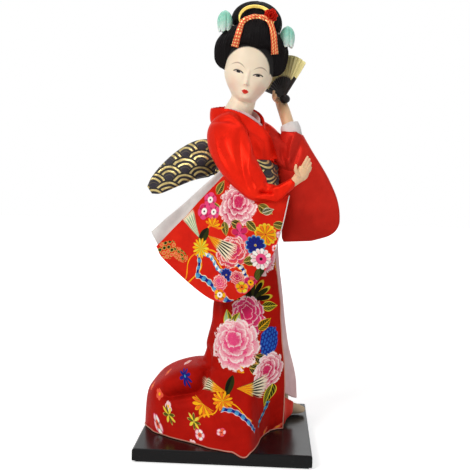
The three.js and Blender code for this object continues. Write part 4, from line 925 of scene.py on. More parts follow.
sleeveRows = [  # middle, half across and half deep, from the shoulder to the wrist
    [3, -1, 210.5, 9, 8], [-4.8, -9.4, 209.4, 12.8, 10], [-3.0, -18, 200, 14, 10.2],
    [3.0, -25, 187, 12.8, 9.8], [11.5, -30.5, 175, 10.8, 8.6], [20, -34.4, 166.8, 7.8, 7.0],
    [30, -37.2, 166.6, 4.9, 4.6], [37, -39.4, 170.6, 3.9, 3.5], [41, -40.6, 174.2, 2.7, 2.4],
]
sleeveAcross = np.cross([0, 1, 0.2], [0.4, -0.4, -0.8])


def sleeveFolds(t, a):  # rings of cloth bunched at the elbow, and long pulls from the shoulder
    bunch = 0.5 * np.sin(t * 46 + np.sin(a) * 2.2) * bell(t, 0.66, 0.1)
    pull = 0.5 * np.sin(a * 3 + t * 7) * ease(t, 0.05, 0.3) * ease(1 - t, 0.05, 0.4)
    return bunch + pull


topFolds = [  # lines of (x, z), width and rise of each fold
    ([(-2.8, 217.8), (7, 208.3), (10.8, 198.9), (11.9, 187.8), (12.3, 179.4), (18.5, 165.5)], 2.4, 2.0),
    ([(-5.1, 202.6), (0.2, 190.7), (7.2, 177.9)], 4.5, 1.4),
    ([(5, 206), (6, 192), (8.5, 178), (13, 168)], 2.4, -1.5),
    ([(-16, 212.4), (-9.5, 213.5), (-2.6, 213.7), (2.9, 211)], 1.9, -1.3),
    ([(-12, 205), (-9, 192), (-3, 181), (6, 170)], 1.7, 0.6),
    ([(21.6, 210.6), (27.6, 203), (30, 194.6), (29.6, 187)], 0.9, 0.5),
    ([(20.4, 210), (26.2, 202), (28.3, 194)], 1.3, -0.6),
    ([(18.5, 165.2), (23, 167.4), (27.4, 165.6)], 1.8, -4.0),
    ([(17, 163.2), (24, 163), (30.7, 162.4), (36, 167.5), (41.5, 174)], 1.3, 1.8),
    ([(21, 169.6), (28, 169), (35, 171.6), (40, 175)], 1.2, 0.6),
    ([(14, 204), (18, 196), (22, 186)], 2.2, 0.6),
]
shoulderRows = [[7, 6, 210, 8, 8], [17, 10.5, 208.4, 8.6, 8], [25, 11.5, 203, 8, 7.5], [30, 12, 193, 7, 7]]
yokeRows = [
    [15.6, 10.4, 209.4, 6.2, 3], [12, 12, 211, 7.4, 3.2], [3.6, 14.6, 212.6, 7.6, 3.4],
    [-6, 13.6, 212.6, 7.6, 3.4], [-12.4, 8, 212, 7.2, 3.2], [-13.2, -1, 211.6, 6.8, 3],
    [-9.6, -6.6, 211, 5.6, 2.6],
]
collars = {"outer": (4.9, 0.95), "inner": (4.6, 0.45)}  # half the width and half the depth of each band
limbs = [bodice, limb(yokeRows, up, 48, 90), limb(shoulderRows, side, 60, 60)]
limbs += [limb(sleeveRows, sleeveAcross, 96, 150, sleeveFolds), collarBand(outerCollar, *collars["outer"])]
kimonoTop = fuse(makeMesh("kimonoTop", [ringGrid(g) for g in limbs]), 0.56, 7)
foldLines(kimonoTop, topFolds)
boxMap(kimonoTop)
settle(kimonoTop, redSatin, "figure", "red_satin", "bodice", "torso_core", "collar_outer", "right_sleeve")
band = ringGrid(collarBand(innerCollar, *collars["inner"]))
sew("innerBand", [band], collarCloth, "figure", "white_lining", "collar_inner")

obi = {"low": 153.4, "high": 188.2, "halfSide": 21.0, "halfFront": 18.8, "roll": 1.4, "wall": 1.2}
h, turn = ringRows(np.linspace(obi["low"], obi["high"], 60), 180)
fromMiddle = (2 * h - obi["low"] - obi["high"]) / (obi["high"] - obi["low"])
pleat = 0.35 * np.sin(h * 0.9 + np.sin(turn * 3) * 1.2) + 0.3 * np.sin(turn * 6 + h * 0.2)
swell = pleat - obi["roll"] * np.abs(fromMiddle) ** 6
spots = aroundBody(h, turn, obi["halfSide"] + swell, obi["halfFront"] + swell)
sew("obiBand", [ringGrid(spots, ends=(0, 0))], brocade, "figure", "brocade", "obi", wall=obi["wall"])

# bow at the back: a knot, two drooping wings and one tail
bow = {
    "behind": 24.5, "knot": [[-11, 6], [-6, 8], [0, 8.4], [6, 8], [11, 6]], "long": 51, "tall": 27, "deep": 6,
    "wing": [[0.04, 0, 0.4, 0.5], [0.22, 0.4, 0.5, 0.9], [0.45, 5, 0.46, 1], [0.7, 13, 0.37, 0.8],
             [0.9, 20.5, 0.25, 0.5], [1, 24, 0.12, 0.2]],  # shares along, drop, shares of tall and deep
    "tail": [[0, 6, 1.6], [-16, 9, 1.8], [-30, 10, 1.6], [-44, 9.5, 1.4]],
}
knotMiddle = bodyAt(np.array(waistTop)) - bow["behind"] * front + up
knotRows = [[*(knotMiddle + up * z), half - 1, half] for z, half in bow["knot"]]
knot = limb(knotRows, side, 60, 40, lambda t, a: 0.5 * np.sin(a * 8 + 2 * np.sin(t * 5)))
sew("obiKnot", [ringGrid(knot)], brocade, "figure", "brocade", "obi_knot")


def bowWing(name, way, nodeName):  # a drooping limb outward from the knot, gathered where it starts
    start = knotMiddle + 3.5 * way
    rows = [[*(start + bow["long"] * s * way + up * (3 - drop)), bow["tall"] * tall, bow["deep"] * deep]
            for s, drop, tall, deep in bow["wing"]]

    def gather(t, a):  # fine folds that fade outward, and broad ones
        folds = 0.55 * np.sin(a * 7 + 0.6) * (1 - t) + 0.5 * np.sin(a * 3 + t * 4)
        return folds * ease(1 - t, 0, 0.2)

    spots = limb(rows, up, 120, 90, gather)
    flat = np.stack([spots @ way, spots[..., 2]], -1)
    grid = ringGrid(spots, uv=np.concatenate([flat, flat[:, :1]], 1))
    sew(name, [grid], brocade, "figure", "brocade", nodeName)


nearWay = np.array([-0.992, -0.06, 0])
farWay = nearWay - 2 * side * (nearWay @ side)
bowWing("bowNear", unit(nearWay), "obi_wing_right")
bowWing("bowFar", unit(farWay), "obi_wing_left")
tailTop = knotMiddle - 2 * front
tailRows = [[*(tailTop + up * z + front * 0.06 * z), wide, deep] for z, wide, deep in bow["tail"]]
tail = limb(tailRows, side, 48, 40, lambda t, a: 0.3 * np.sin(a * 5 + t * 3))
sew("obiTail", [ringGrid(tail)], brocade, "figure", "brocade", "obi_tail")
print("bodice and obi done")

# right sleeve, its hanging panel and the pale lining in its opening
panel = {
    "top": [(39, -38.6, 165), (26.5, -38.6, 164.4), (12, -31, 168.5), (-1, -19, 182)],
    "front": [(39, -38.4, 165), (35.4, -36.6, 146), (31.1, -34, 129)],
    "low": [(31.1, -34, 129), (22.3, -30, 111.6), (8, -27, 95.6), (-11, -20, 92.8), (-46.4, -2, 115.1),
            (-53.6, 2.6, 125.5)],
    "open": [(-1, -19, 182), (-28.3, -5.5, 152.5), (-53.6, 2.6, 125.5)],
    "outward": np.array([-0.35, -0.94, 0]), "across": np.array([0.94, -0.35, 0]),
    "deep": 2.6, "liningUp": np.array([-0.42, 0.1, 0.9]), "liningIn": np.array([0.3, 0.94, 0]), "edge": 0.34,
}


def panelPoint(u, v):  # a surface spanned between four edge lines, with soft hanging waves
    top, low = line(panel["top"], u), line(panel["low"], u)
    lead, tail = line(panel["front"], v), line(panel["open"], v)
    u1, v1 = u[..., None], v[..., None]
    topChord, lowChord = ((1 - u1) * row[0, 0] + u1 * row[0, -1] for row in (top, low))
    flat = (1 - v1) * (top - topChord) + v1 * (low - lowChord) + (1 - u1) * lead + u1 * tail
    wave = 1.5 * v * np.sin(12 * u + 0.6) + 2.2 * np.sin(np.pi * u) * np.sin(np.pi * v)
    pull = 0.5 * np.sin(9 * u + 14 * v) * np.sin(np.pi * v) + 0.45 * np.sin(21 * u - 5 * v) * v
    return flat + panel["outward"] * (wave + pull)[..., None]


def planarMap(spots):  # lengths across the panel and up
    return np.stack([spots @ panel["across"], spots[..., 2]], -1)


v, u = np.meshgrid(np.linspace(0, 1, 90), np.linspace(0, 1, 120), indexing="ij")
face = panelPoint(u, v)
rim = (1 - np.abs(2 * u - 1) ** 10) * (1 - np.abs(2 * v - 1) ** 10)
behind = face - panel["outward"] * (panel["deep"] * rim)[..., None]
grids = [{"spots": face, "uv": planarMap(face)}, {"spots": behind, "uv": planarMap(behind), "flip": True}]
sew("sleevePanel", grids, panelSatin, "figure", "printed_satin", "right_sleeve_panel")

v, w = np.meshgrid(np.linspace(0.02, 1.0, 80), np.linspace(-1, 1, 60), indexing="ij")
rise, behind = np.maximum(w, 0) * (4 + 7.5 * v), np.maximum(-w, 0)
inward = 3.25 + 0.5 * np.sin(9 * v + 4 * w) - 1.6 * ease(w, 0.3, 1)
spots = panelPoint(1 - 0.3 * behind, v + (1 - v) * 0.2 * behind)
spots = spots + panel["liningUp"] * rise[..., None] + panel["liningIn"] * inward[..., None]
grids = [{"spots": spots}]
sew("sleeveLining", grids, whiteLining, "figure", "white_lining", "right_sleeve_lining", wall=0.6)
mouth = line(panel["front"], np.linspace(0, 1, 60)) + panel["outward"] * 1.2
sew("mouthEdge", [cord(mouth, panel["edge"], (0, 1, 0.2), 120)], whiteLining, "figure", "white_lining")

# left sleeve: a hanging bag under the raised arm
bag = {
    "top": 209.0, "drop": 78.0,
    "rows": [  # share of the drop, left and right edge, half depth, middle
        [0, 32.6, 48.2, 7.4, 10], [0.2, 29.6, 58.2, 7.4, 9], [0.4, 31, 67.4, 6.6, 8],
        [0.6, 32.4, 73.6, 5.4, 7.6], [0.8, 34.6, 75.6, 4.4, 7.4], [0.9, 34.9, 73.6, 3.6, 7.2],
        [0.965, 35.2, 67.6, 2.6, 7], [1, 36.5, 57, 1.4, 7],
    ],
}
share, turn = ringRows(np.linspace(0, 1, 110), 140)
left, right, deep, y = np.moveaxis(through(bag["rows"], share), -1, 0)
x = (left + right) / 2 + (right - left) / 2 * np.cos(turn)
across = (x - left) / np.maximum(right - left, 1)
crease = 0.4 * np.sin(across * 11 + share * 7) * np.sin(np.pi * share)
y = y + (deep + crease * np.sign(-np.sin(turn))) * np.sin(turn)
z = bag["top"] - bag["drop"] * share + 0.07 * (x - left) * share - 0.16 * (x - left) * (1 - share)
bagCloth = ringGrid(stack(x, y, z), flip=True)
upperArm = [[20, 10, 204, 9, 9], [33, 10, 193, 10, 8.6], [45, 9, 180, 9, 7]]
armCloth = ringGrid(limb(upperArm, (0, 0.1, 1), 60, 50, lambda t, a: 0.7 * np.sin(a * 4 + t * 9)))
leftSleeve = makeMesh("leftSleeve", [bagCloth, armCloth])
foldLines(leftSleeve, [
    ([(42.5, 208), (40.1, 199.5), (38.4, 189.2), (37.8, 184)], 2.4, 3.2),
    ([(33, 197), (34.3, 189), (37.2, 183.4)], 1.8, -2.6),
    ([(48, 204), (43.6, 193), (39.6, 183.4)], 2.4, -2.2),
    ([(38.4, 183.6), (41, 172), (42, 158)], 4.0, 0.7),
    ([(58, 190), (60, 172), (58, 152), (53, 138)], 6.0, 1.0),
    ([(50, 186), (51, 168), (48, 148)], 5.0, -0.9),
    ([(68, 172), (68, 156), (64, 142)], 4.0, -0.7),
])
settle(leftSleeve, sleeveRed, "figure", "red_satin", "left_sleeve")

cuffMiddle = np.array([40.5, 11.0, 210.0])
cuffRows = [[*(cuffMiddle + (1.6, -1.2, -6)), 6.0, 5.6], [*(cuffMiddle + (-0.8, -0.6, -1)), 6.9, 5.9],
            [*(cuffMiddle + (-2.4, 1, 3.2)), 6.6, 5.7]]
cuff = limb(cuffRows, (1, 0, 0.2), 60, 30, lambda t, a: 0.35 * np.sin(a * 6 + t * 4) * t)
sew("leftCuff", [ringGrid(cuff, ends=(1, 0))], whiteLining, "figure", "white_lining", "left_cuff", wall=0.8)
print("sleeves done")


# hands: palm, fingers and thumb grown together
def finger(points, sizes, across, count=16):  # a limb through the points, a little flatter than wide
    rows = [[*p, s, s * 0.92] for p, s in zip(np.array(points, float), sizes)]
    return limb(rows, across, 14, count)


skinPaint, tree, shader = newMaterial("skinPaint")
place = objectMap(tree)
dress(
    shader, mix(noise(place, 60.0, 3.0), tint(232, 186, 142), tint(244, 208, 168)),
    noise(place, 300.0, 2.0) * 0.2 + 0.36, noise(place, 900.0, 3.0), 0.08, 0.05,
    Subsurface_Weight=0.25, Subsurface_Radius=(1.0, 0.35, 0.2), Subsurface_Scale=0.0015,
)
wrist = np.array([40.1, -40, 172.4])
palm = wrist + (6, -2.6, 6.4)
handAcross = (0.75, 0.1, -0.66)
handRows = [
    [*(wrist - (1.2, -0.5, 1.3)), 2.5, 2.2], [*wrist, 2.5, 2.2], [*(palm - (1.6, -0.7, 1.8)), 3.6, 2.4],
    [*palm, 4.2, 2.5], [*(palm + (1.6, -0.6, 4)), 3.7, 1.9],
]
roots = [(0, -0.6, 4.4), (1.6, -0.4, 3.4), (2.6, -0.2, 1.8), (2.8, 0.2, 0)]
tips = [(3.4, -1.2, 11.6), (4.6, -0.7, 10.2), (5.6, -0.1, 7.8), (5.8, 0.4, 4.8)]
limbs = [limb(handRows, handAcross, 24, 28)]
for root, tip in zip(palm + roots, palm + tips):
    bend = (root + tip) / 2 + (0.3, -0.7, 0.2)
    limbs.append(finger([root, bend, tip], [1.25, 1.15, 0.75], (0.3, 1, 0.1)))
thumb = palm + [(-1.6, -1, -1.4), (-4, -2.4, 2.4), (-4, -2.8, 6.2)]
limbs.append(finger(thumb, [1.7, 1.35, 0.8], (0.3, 1, 0.1), 18))
rightHand = fuse(makeMesh("rightHand", [ringGrid(g) for g in limbs]), 0.28, 6)
settle(rightHand, skinPaint, "right_hand", "skin", "right_hand")

fanOrigin = np.array([34.5, 15.5, 232.2])
fanTurn = np.array(Matrix.Rotation(np.radians(-40), 3, "Z"))


def fromFan(spots):  # from the fan's own axes to the doll's
    return np.asarray(spots, float) @ fanTurn.T + fanOrigin


def toFan(spots):  # from the doll's axes to the fan's own
    return (np.asarray(spots, float) - fanOrigin) @ fanTurn


palm = np.array([-8.5, 6.8, 8.5])
wrist = toFan([31.2, 25.8, 233.2])
armRows = [
    [*toFan(cuffMiddle + (0.8, -1.3, -8.2)), 4.4, 4], [*toFan(cuffMiddle + (-5.2, 4, 10.5)), 4.4, 3.9],
    [*wrist, 4.0, 2.6], [*(palm + (0, 0.4, 0) + 0.4 * (wrist - palm)), 4.3, 2.3], [*palm, 4.6, 2.5],
    [*(palm + (1.4, 0, 4.6)), 4.2, 2],
]
limbs = [limb(armRows, (1, 0, -0.3), 28, 60)]
for offset in (-3, -1, 1.1, 3.1):
    root, tip = palm + (offset, 0, 3.4), palm + (offset * 1.2 + 1.2, -0.6, 12.2 - 0.5 * abs(offset))
    bend = (root + tip) / 2 + (0, 0.6, 0)
    limbs.append(finger([root, bend, tip], [1.35, 1.25, 0.85], (0.2, 1, 0)))
thumb = [(-8.4, 5.6, 1.0), (-8.0, 2.2, -0.9), (-7.4, -1.6, -0.4), (-6.6, -4.6, 1.4), (-6.0, -4.9, 5.8)]
limbs.append(finger(thumb, [2.1, 1.8, 1.6, 1.35, 0.95], (0.2, 0.3, 1), 26))
limbs.append(egg((-7.8, 6.4, 2.6), (3.0, 2.5, 4.6), (24, 28)))
limbs.append(egg((-5.4, -4.9, 1.6), (2.0, 1.4, 2.2), (24, 28)))
leftArm = fuse(makeMesh("leftArm", [ringGrid(fromFan(g)) for g in limbs]), 0.32, 6)
settle(leftArm, skinPaint, "figure", "skin", "left_arm")
print("hands done")

# fan: one pleat of paper on each stick, black inside a jagged border and gold outside
fanPaper, tree, shader = newMaterial("fanPaper")
x, y, _ = axes(clothMap(tree))
flecks = noise(clothMap(tree), 1.4, 4.0, 0.7)
jag = abs((x * 0.9).op("FRACT") - 0.5) * 3.2
gold = (y - jag - (x - 20.0) * 0.12).above(13.6, 0.15)
goldTint = mix(flecks, tint(232, 214, 116), tint(255, 250, 198))
dress(
    shader, mix(gold, tint(22, 17, 16), goldTint), 0.5 - gold * 0.14,
    noise(clothMap(tree), 3.0, 3.0), 0.2, 0.05, Metallic=gold * 0.05,
)
fan = {
    "first": 52.0, "step": 15.143, "layer": 0.7, "margin": 2.5, "overlap": 0.4, "inner": 3.6, "outer": 30.4,
    "pleat": 0.62, "wall": 0.15, "knob": (3.2, 4.4, 3.2),
    "guard": [[1, 1.3], [12, 1.5], [24, 1.7], [30, 1.5]],  # distance out and half width
}
bodies = ["fan_guard"] + [f"fan_stick_{i}" for i in range(1, 7)] + ["figure"]
outer = {0: ["fan_guard_free"], 7: ["fan_leaf", "fan_guard_held"]}  # these pleats have a broad stick as well
for i, body in enumerate(bodies):
    middle = fan["first"] + fan["step"] * i
    low = middle - (fan["step"] / 2 if i > 0 else fan["margin"]) - fan["overlap"]
    high = middle + (fan["step"] / 2 if i < 7 else fan["margin"]) + fan["overlap"]
    r, a = np.meshgrid(np.linspace(fan["inner"], fan["outer"], 50), np.linspace(low, high, 34), indexing="ij")
    away = (a - middle) / (fan["step"] / 2)
    pleat = (np.abs((away * 2) % 2 - 1) * 2 - 1) * fan["pleat"] * r / 30
    depth = (i - 3.5 + away * 0.5) * fan["layer"] + pleat
    t = np.radians(a)
    spots = fromFan(stack(r * np.cos(t), depth, r * np.sin(t)))
    grids = [{"spots": spots, "uv": np.stack([t * 22, r], -1), "flip": True}]
    if i in outer:
        way, off = np.radians(middle), (i - 3.5) * 1.05 * fan["layer"]
        rows = [[d * np.cos(way), off, d * np.sin(way), w, 0.42] for d, w in fan["guard"]]
        bar = fromFan(limb(rows, (-np.sin(way), 0, np.cos(way)), 12, 40))
        far = np.broadcast_to(np.linspace(1, 30, 40)[:, None], (40, 13))
        grids.append(ringGrid(bar, uv=np.stack([0 * far + way * 22, far], -1)))
    sew(f"fanPleat{i}", grids, fanPaper, body, "fan_gold", *outer.get(i, [body]), wall=fan["wall"])

blackPaint = plainFinish("blackPaint", tint(24, 18, 17), 400.0, Roughness=0.5, Specular_IOR_Level=0.15)
knob = ringGrid(fromFan(egg((0, 0, 0), fan["knob"], (24, 36))), flip=True)
sew("fanKnob", [knob], blackPaint, "figure", "fan_black", "fan_rivet")
print("fan done")

# head
headTurn = np.array(Matrix.Rotation(np.radians(7), 3, "Y") @ Matrix.Rotation(np.radians(4), 3, "Z"))


def fromHead(spots):  # from the head's own axes to the doll's
    return np.asarray(spots, float) @ headTurn.T + neckBase


skullRows = [  # height, half across, depth of the face and depth behind
    [9.9, 0.6, 0.6, 0.6], [10.6, 3.6, 10.6, 2], [11.2, 5, 13, 4], [12.6, 6.8, 14.5, 6.5],
    [14.6, 8.8, 15.3, 8], [17, 10.6, 15.8, 9.6], [21, 13.3, 16.2, 11.6], [23, 14.5, 16.3, 12.8],
    [27, 16.2, 16.3, 14.6], [30, 16.8, 16.2, 16], [37, 16.6, 16.6, 18], [44, 15.6, 16, 18.4],
    [51, 13.2, 13, 17], [56, 9, 8.2, 12.4], [58.4, 3, 2.6, 5],
]
neckRows = [  # height, radius and shift across
    [-8, 8, -2.5], [-4, 9.4, -3.6], [0, 9.8, -4], [4, 9.8, -3.6], [8, 9.6, -2.2], [14, 8.4, -0.8],
    [20, 7, 0], [26, 2, 0],
]


def headPoint(turn, h):
    # in each direction the larger of the neck's round and the face's rounded oval, blended where they meet
    c, s = np.cos(turn), np.sin(turn)
    half, face, back = np.moveaxis(through(skullRows, h), -1, 0)
    skull = (np.abs(c / half) ** 2.3 + np.abs(s / np.where(s < 0, face, back)) ** 2.3) ** (-1 / 2.3)
    wide, off = np.moveaxis(through(neckRows, h), -1, 0)
    neck = off * c + np.sqrt(np.maximum(wide**2 - (off * s) ** 2, 0.01))
    r = (skull**10 + neck**10) ** 0.1
    return stack(r * c, r * s, h)


bands = ((-8, 9.8, 40), (9.9, 13, 40), (13.1, 37, 130), (37.3, 58.4, 50))  # closest on the chin and face
reliefRows = [  # rise, middle and width across, middle and width up; the same on both sides
    (0.45, 1.5, 0.8, 21.2, 0.9), (-0.75, 6.8, 3.4, 28.9, 2.1), (0.42, 6.8, 2.6, 28.6, 1.05),
    (0.3, 7.6, 3.6, 33.0, 1.6), (0.5, 8.6, 3.6, 20.5, 4.0), (0.7, 0, 2.3, 17.4, 0.7),
    (0.7, 0, 2.3, 15.9, 0.7), (-0.3, 0, 2.6, 13.6, 0.9), (0.5, 0, 3.4, 12.6, 1.6),
]
h, turn = ringRows(np.concatenate([np.linspace(*band) for band in bands]), 260)
spots = headPoint(turn, h)
x, z = spots[..., 0], spots[..., 2]
xf, zf = x - 0.07 * (z - 28) + 0.6, z + 0.07 * x
nose = 0.35 * ease(zf, 20.6, 21.6) * ease(34 - zf, 0, 8) + 0.75 * bell(zf, 21.9, 1.5)
relief = 2.3 * bell(xf, 0, 1.25) * nose - 0.35 * bell(xf, 0.5, 2.6) * bell(zf, 16.6, 0.35)
for rise, across, wide, height, tall in reliefRows:
    relief = relief + rise * bell(np.abs(xf), across, wide) * bell(zf, height, tall)
spots[..., 1] -= relief * ease(-np.sin(turn), 0.1, 0.45)
faceMap = np.stack([xf + np.where(np.sin(turn) < -0.05, 0, 100), zf], -1)
faceMap = np.concatenate([faceMap, faceMap[:, :1]], 1)

faceAt = {  # places on the face: across from its middle line and up from the neck's base, in mm
    "blush": (9.4, 20.0), "eye": (6.8, 28.7), "eyeHalf": 3.3, "brow": (8.2, 34.5), "nostril": (1.0, 20.75),
    "mouth": (0.5, 16.6), "lipTop": 18.2, "lipLow": 15.1, "nape": 19.0,
}
porcelain, tree, shader = newMaterial("porcelain")
where = clothMap(tree)
x, y, _ = axes(where)
ax = abs(x)
skinTone = mix(noise(where, 0.12, 2.0), tint(245, 224, 197), tint(252, 236, 212))
blush = hypot(ax - faceAt["blush"][0], y - faceAt["blush"][1]).below(3.0, 7.0) * 0.34
color = mix(blush, skinTone, tint(232, 150, 128))
eyeOut = ax - faceAt["eye"][0]
ex, ey = eyeOut / faceAt["eyeHalf"], y - (eyeOut * 0.12 + faceAt["eye"][1])
lens = 1.0 - ex * ex
top, bottom = lens * 0.98, lens * -0.6
openEye = (ey - top).below(0.0, 0.12) * (ey - bottom).above(0.0, 0.12)
lidFold = abs(ey - top * 1.5 - 0.35).below(0.12, 0.3) * abs(ex).below(1.0, 0.2) * 0.4
color = mix(lidFold, color, tint(150, 96, 76))
color = mix(openEye, color, tint(226, 212, 198))
iris = hypot(eyeOut, ey - 0.12)
color = mix(openEye * iris.below(1.3, 0.15), color, tint(14, 9, 8))
color = mix(openEye * iris.below(0.6, 0.15), color, tint(8, 6, 6))
# a painted highlight: a small white dot in each eye
shine = hypot(eyeOut + 0.4, ey - 0.5)
color = mix(shine.below(0.12, 0.08) * 0.6, color, tint(250, 250, 250))
lash = abs(ey - top - 0.05).below(0.4, 0.16) * abs(ex).below(1.06, 0.1)
under = abs(ey - bottom).below(0.09, 0.1) * abs(ex).below(1.0, 0.1) * 0.6
color = mix((lash + under).op("MINIMUM", 1.0), color, tint(28, 17, 14))
browOut = ax - faceAt["brow"][0]
browLine = faceAt["brow"][1] - browOut * browOut * 0.085 - (browOut * -1.0).op("MAXIMUM", 0.0) * 0.06
thick = (ax - 2.6).op("MAXIMUM", 0.0) * (13.0 - ax).op("MAXIMUM", 0.0) * 0.018
color = mix((abs(y - browLine) - thick).below(0.0, 0.22) * 0.6, color, tint(134, 98, 74))
lx = abs(x - faceAt["mouth"][0])
lipTop = faceAt["lipTop"] - lx * 0.34 - (0.8 - lx).op("MAXIMUM", 0.0) * 0.55
lipTop = lipTop - (lx - 1.0).op("MAXIMUM", 0.0) * 0.42
lipLow = faceAt["lipLow"] + lx * lx * 0.27
lips = (y - lipTop).below(0.0, 0.2) * (y - lipLow).above(0.0, 0.2) * lx.below(2.5, 0.2)
seam = abs(y - faceAt["mouth"][1]).below(0.14, 0.2) * 0.7
color = mix(lips, color, mix(seam, tint(222, 56, 40), tint(130, 20, 20)))
nx, ny = ax - faceAt["nostril"][0], y - faceAt["nostril"][1]
nostril = (nx * nx * 1.5 + ny * ny * 4.0).op("SQRT")
color = mix(nostril.below(0.45, 0.3) * 0.5, color, tint(170, 96, 80))
arch = ((x + 1.5) * (x + 1.5) / 250.0 + (y - 30.0).op("MAXIMUM", 0.0) ** 2.0 / 268.0).op("SQRT")
wisp = noise(node(tree, "CombineXYZ", {0: x * 3.0, 1: y * 0.3, 2: 0.0}), 1.0, 2.0) - 0.5
napeRise = (abs(x - 100.0) - 6.0).op("MAXIMUM", 0.0)  # painted hair sweeps up from nape to temples
napeLine = (napeRise * napeRise * 0.14).op("MINIMUM", 13.0) + faceAt["nape"]
hairline = (arch + wisp * 0.05).above(1.0, 0.06) * (y - napeLine + wisp * 4.0).above(0.0, 1.2)
color = mix(hairline, color, tint(14, 11, 12))
rough = 0.42 - lips * 0.12 + openEye * 0.35 + hairline * 0.4
dress(
    shader, color, rough, noise(where, 1.6, 3.0), 0.05, 0.05, Subsurface_Weight=0.2,
    Subsurface_Radius=(1.0, 0.4, 0.25), Subsurface_Scale=0.001, Specular_IOR_Level=0.25,
)
sew("headSkin", [ringGrid(fromHead(spots), uv=faceMap)], porcelain, "head", "porcelain", "head")
print("head done")

# hair: combed floss over a cap, a forelock, a topknot and a nape roll
hairFloss, tree, shader = newMaterial("hairFloss")
where = clothMap(tree)
x, y, _ = axes(where)
strand = node(tree, "CombineXYZ", {0: x, 1: y * 0.05, 2: 0.0})
coarse, fine = noise(strand, 1.1, 2.0), noise(strand, 5.5, 3.0, 0.7)
shade, height = mix(fine, tint(6, 5, 6), tint(22, 17, 18)), coarse * 2.0 + fine * 1.4
dress(shader, shade, 0.32 + fine * 0.2, height, 0.7, 0.3, Specular_IOR_Level=0.07)
capRows = [  # height, half across, depth of the front and depth behind
    [17, 8, -3, 13.5], [22, 11, -1, 18], [29, 14.4, 2.5, 20.4], [31.4, 17, 4, 20.8],
    [33, 21.2, 5.4, 21], [36, 23.8, 6.6, 21], [39, 24.8, 7.6, 21], [45, 25.4, 10.6, 20.6],
    [50, 24.6, 17.4, 20], [56, 21, 18, 18.6], [61, 15, 15, 15.4], [64, 7.5, 9, 9.6],
]
h, turn = ringRows(np.linspace(capRows[0][0], capRows[-1][0], 110), 260)
half, face, back = np.moveaxis(through(capRows, h), -1, 0)
spots = stack(half * np.cos(turn), np.where(np.sin(turn) < 0, face, back) * np.sin(turn), h)
ridges = 0.22 * np.sin(turn * 58 + np.sin(h * 0.3) * 0.8) + 0.3 * np.sin(turn * 17 + h * 0.1)
spots = spots + unit(spots - stack(0, 2, h)) * ridges[..., None]
sew("hairCap", [ringGrid(fromHead(spots))], hairFloss, "head", "hair", "hair_cap")


def hairRoll(name, middle, half, ridges, nodeName):  # a ball pulled out of round, with combed ridges
    def comb(tilt, turn):  # fine ridges and broad ones
        fine = 0.018 * np.sin(turn * ridges + np.sin(tilt * 2) * 0.7)
        return fine + 0.012 * np.sin(turn * ridges * 0.37 + 1)

    grid = ringGrid(fromHead(egg(middle, half, (80, 180), comb)), flip=True)
    sew(name, [grid], hairFloss, "head", "hair", nodeName)


forelock = ((2, -9, 56.5), (12.2, 10.4, 12.4))  # middle and half sizes
topknot = ((0.4, 3, 66.3), (17.4, 13, 14.2))
hairRoll("hairForelock", *forelock, 40, "hair_forelock")
hairRoll("hairTopknot", *topknot, 52, "hair_topknot")
hairRoll("hairNape", (0, 15, 31), (12.6, 9, 13), 40, "hair_nape")

# ribbon: a lame band tied over the forelock
lame, tree, shader = newMaterial("lame")
where = clothMap(tree)
x, y, _ = axes(where)
dots = ((x * 0.62).op("FRACT") - 0.5) ** 2.0 + ((y * 0.44).op("FRACT") - 0.5) ** 2.0
dot = dots.op("SQRT").below(0.27, 0.1)
shade = noise(where, 0.5, 3.0)
color = mix(dot, mix(shade, tint(196, 52, 20), tint(238, 96, 40)), tint(255, 214, 130))
height = shade * 1.5 + dot * 0.6
dress(shader, color, 0.4 - dot * 0.12, height, 0.4, 0.15, Metallic=0.25, Sheen_Weight=0.2)


def hairFront(x, z):  # how far forward the hair stands: the foremost of cap, forelock and topknot
    half, face, _ = np.moveaxis(through(capRows, z), -1, 0)
    foremost = -face * np.sqrt(np.clip(1 - (x / half) ** 2, 0, 1))
    for (mx, my, mz), (hx, hy, hz) in (forelock, topknot):
        left = 1 - ((x - mx) / hx) ** 2 - ((z - mz) / hz) ** 2
        foremost = np.minimum(foremost, np.where(left > 0, my - hy * np.sqrt(np.maximum(left, 0)), 0))
    return foremost


ribbon = {
    "path": [(-12.1, 45.6), (-10.8, 54.4), (-9.1, 62.2), (-3.5, 66), (3.2, 66.6), (8.6, 64.2), (12.2, 56.6),
             (15.4, 44.8)],
    "wide": 4.6, "narrow": 2.6, "clear": 0.8, "wall": 0.5,
}
t = np.linspace(0, 1, 140)
path = line(ribbon["path"], t)
along = unit(np.gradient(path, axis=0))
w = np.linspace(-0.5, 0.5, 18)[None]
broad = (ribbon["narrow"] + (ribbon["wide"] - ribbon["narrow"]) * np.abs(2 * t - 1) ** 1.5)[:, None] * w
x, z = path[:, :1] + along[:, 1:] * broad, path[:, 1:] - along[:, :1] * broad
lie = hairFront(x, z).min(1)
lie = np.convolve(np.pad(lie, 8, "edge"), np.full(17, 1 / 17), "valid")[:, None]
ruck = 0.35 * np.sin(t[:, None] * 46 + w * 3) + 0.5 * np.cos(w * 3)
spots = fromHead(stack(x, lie - ribbon["clear"] - ruck, z))
grids = [{"spots": spots, "flip": True}]
sew("hairRibbon", grids, lame, "head", "ribbon", "hair_ribbon", wall=ribbon["wall"])

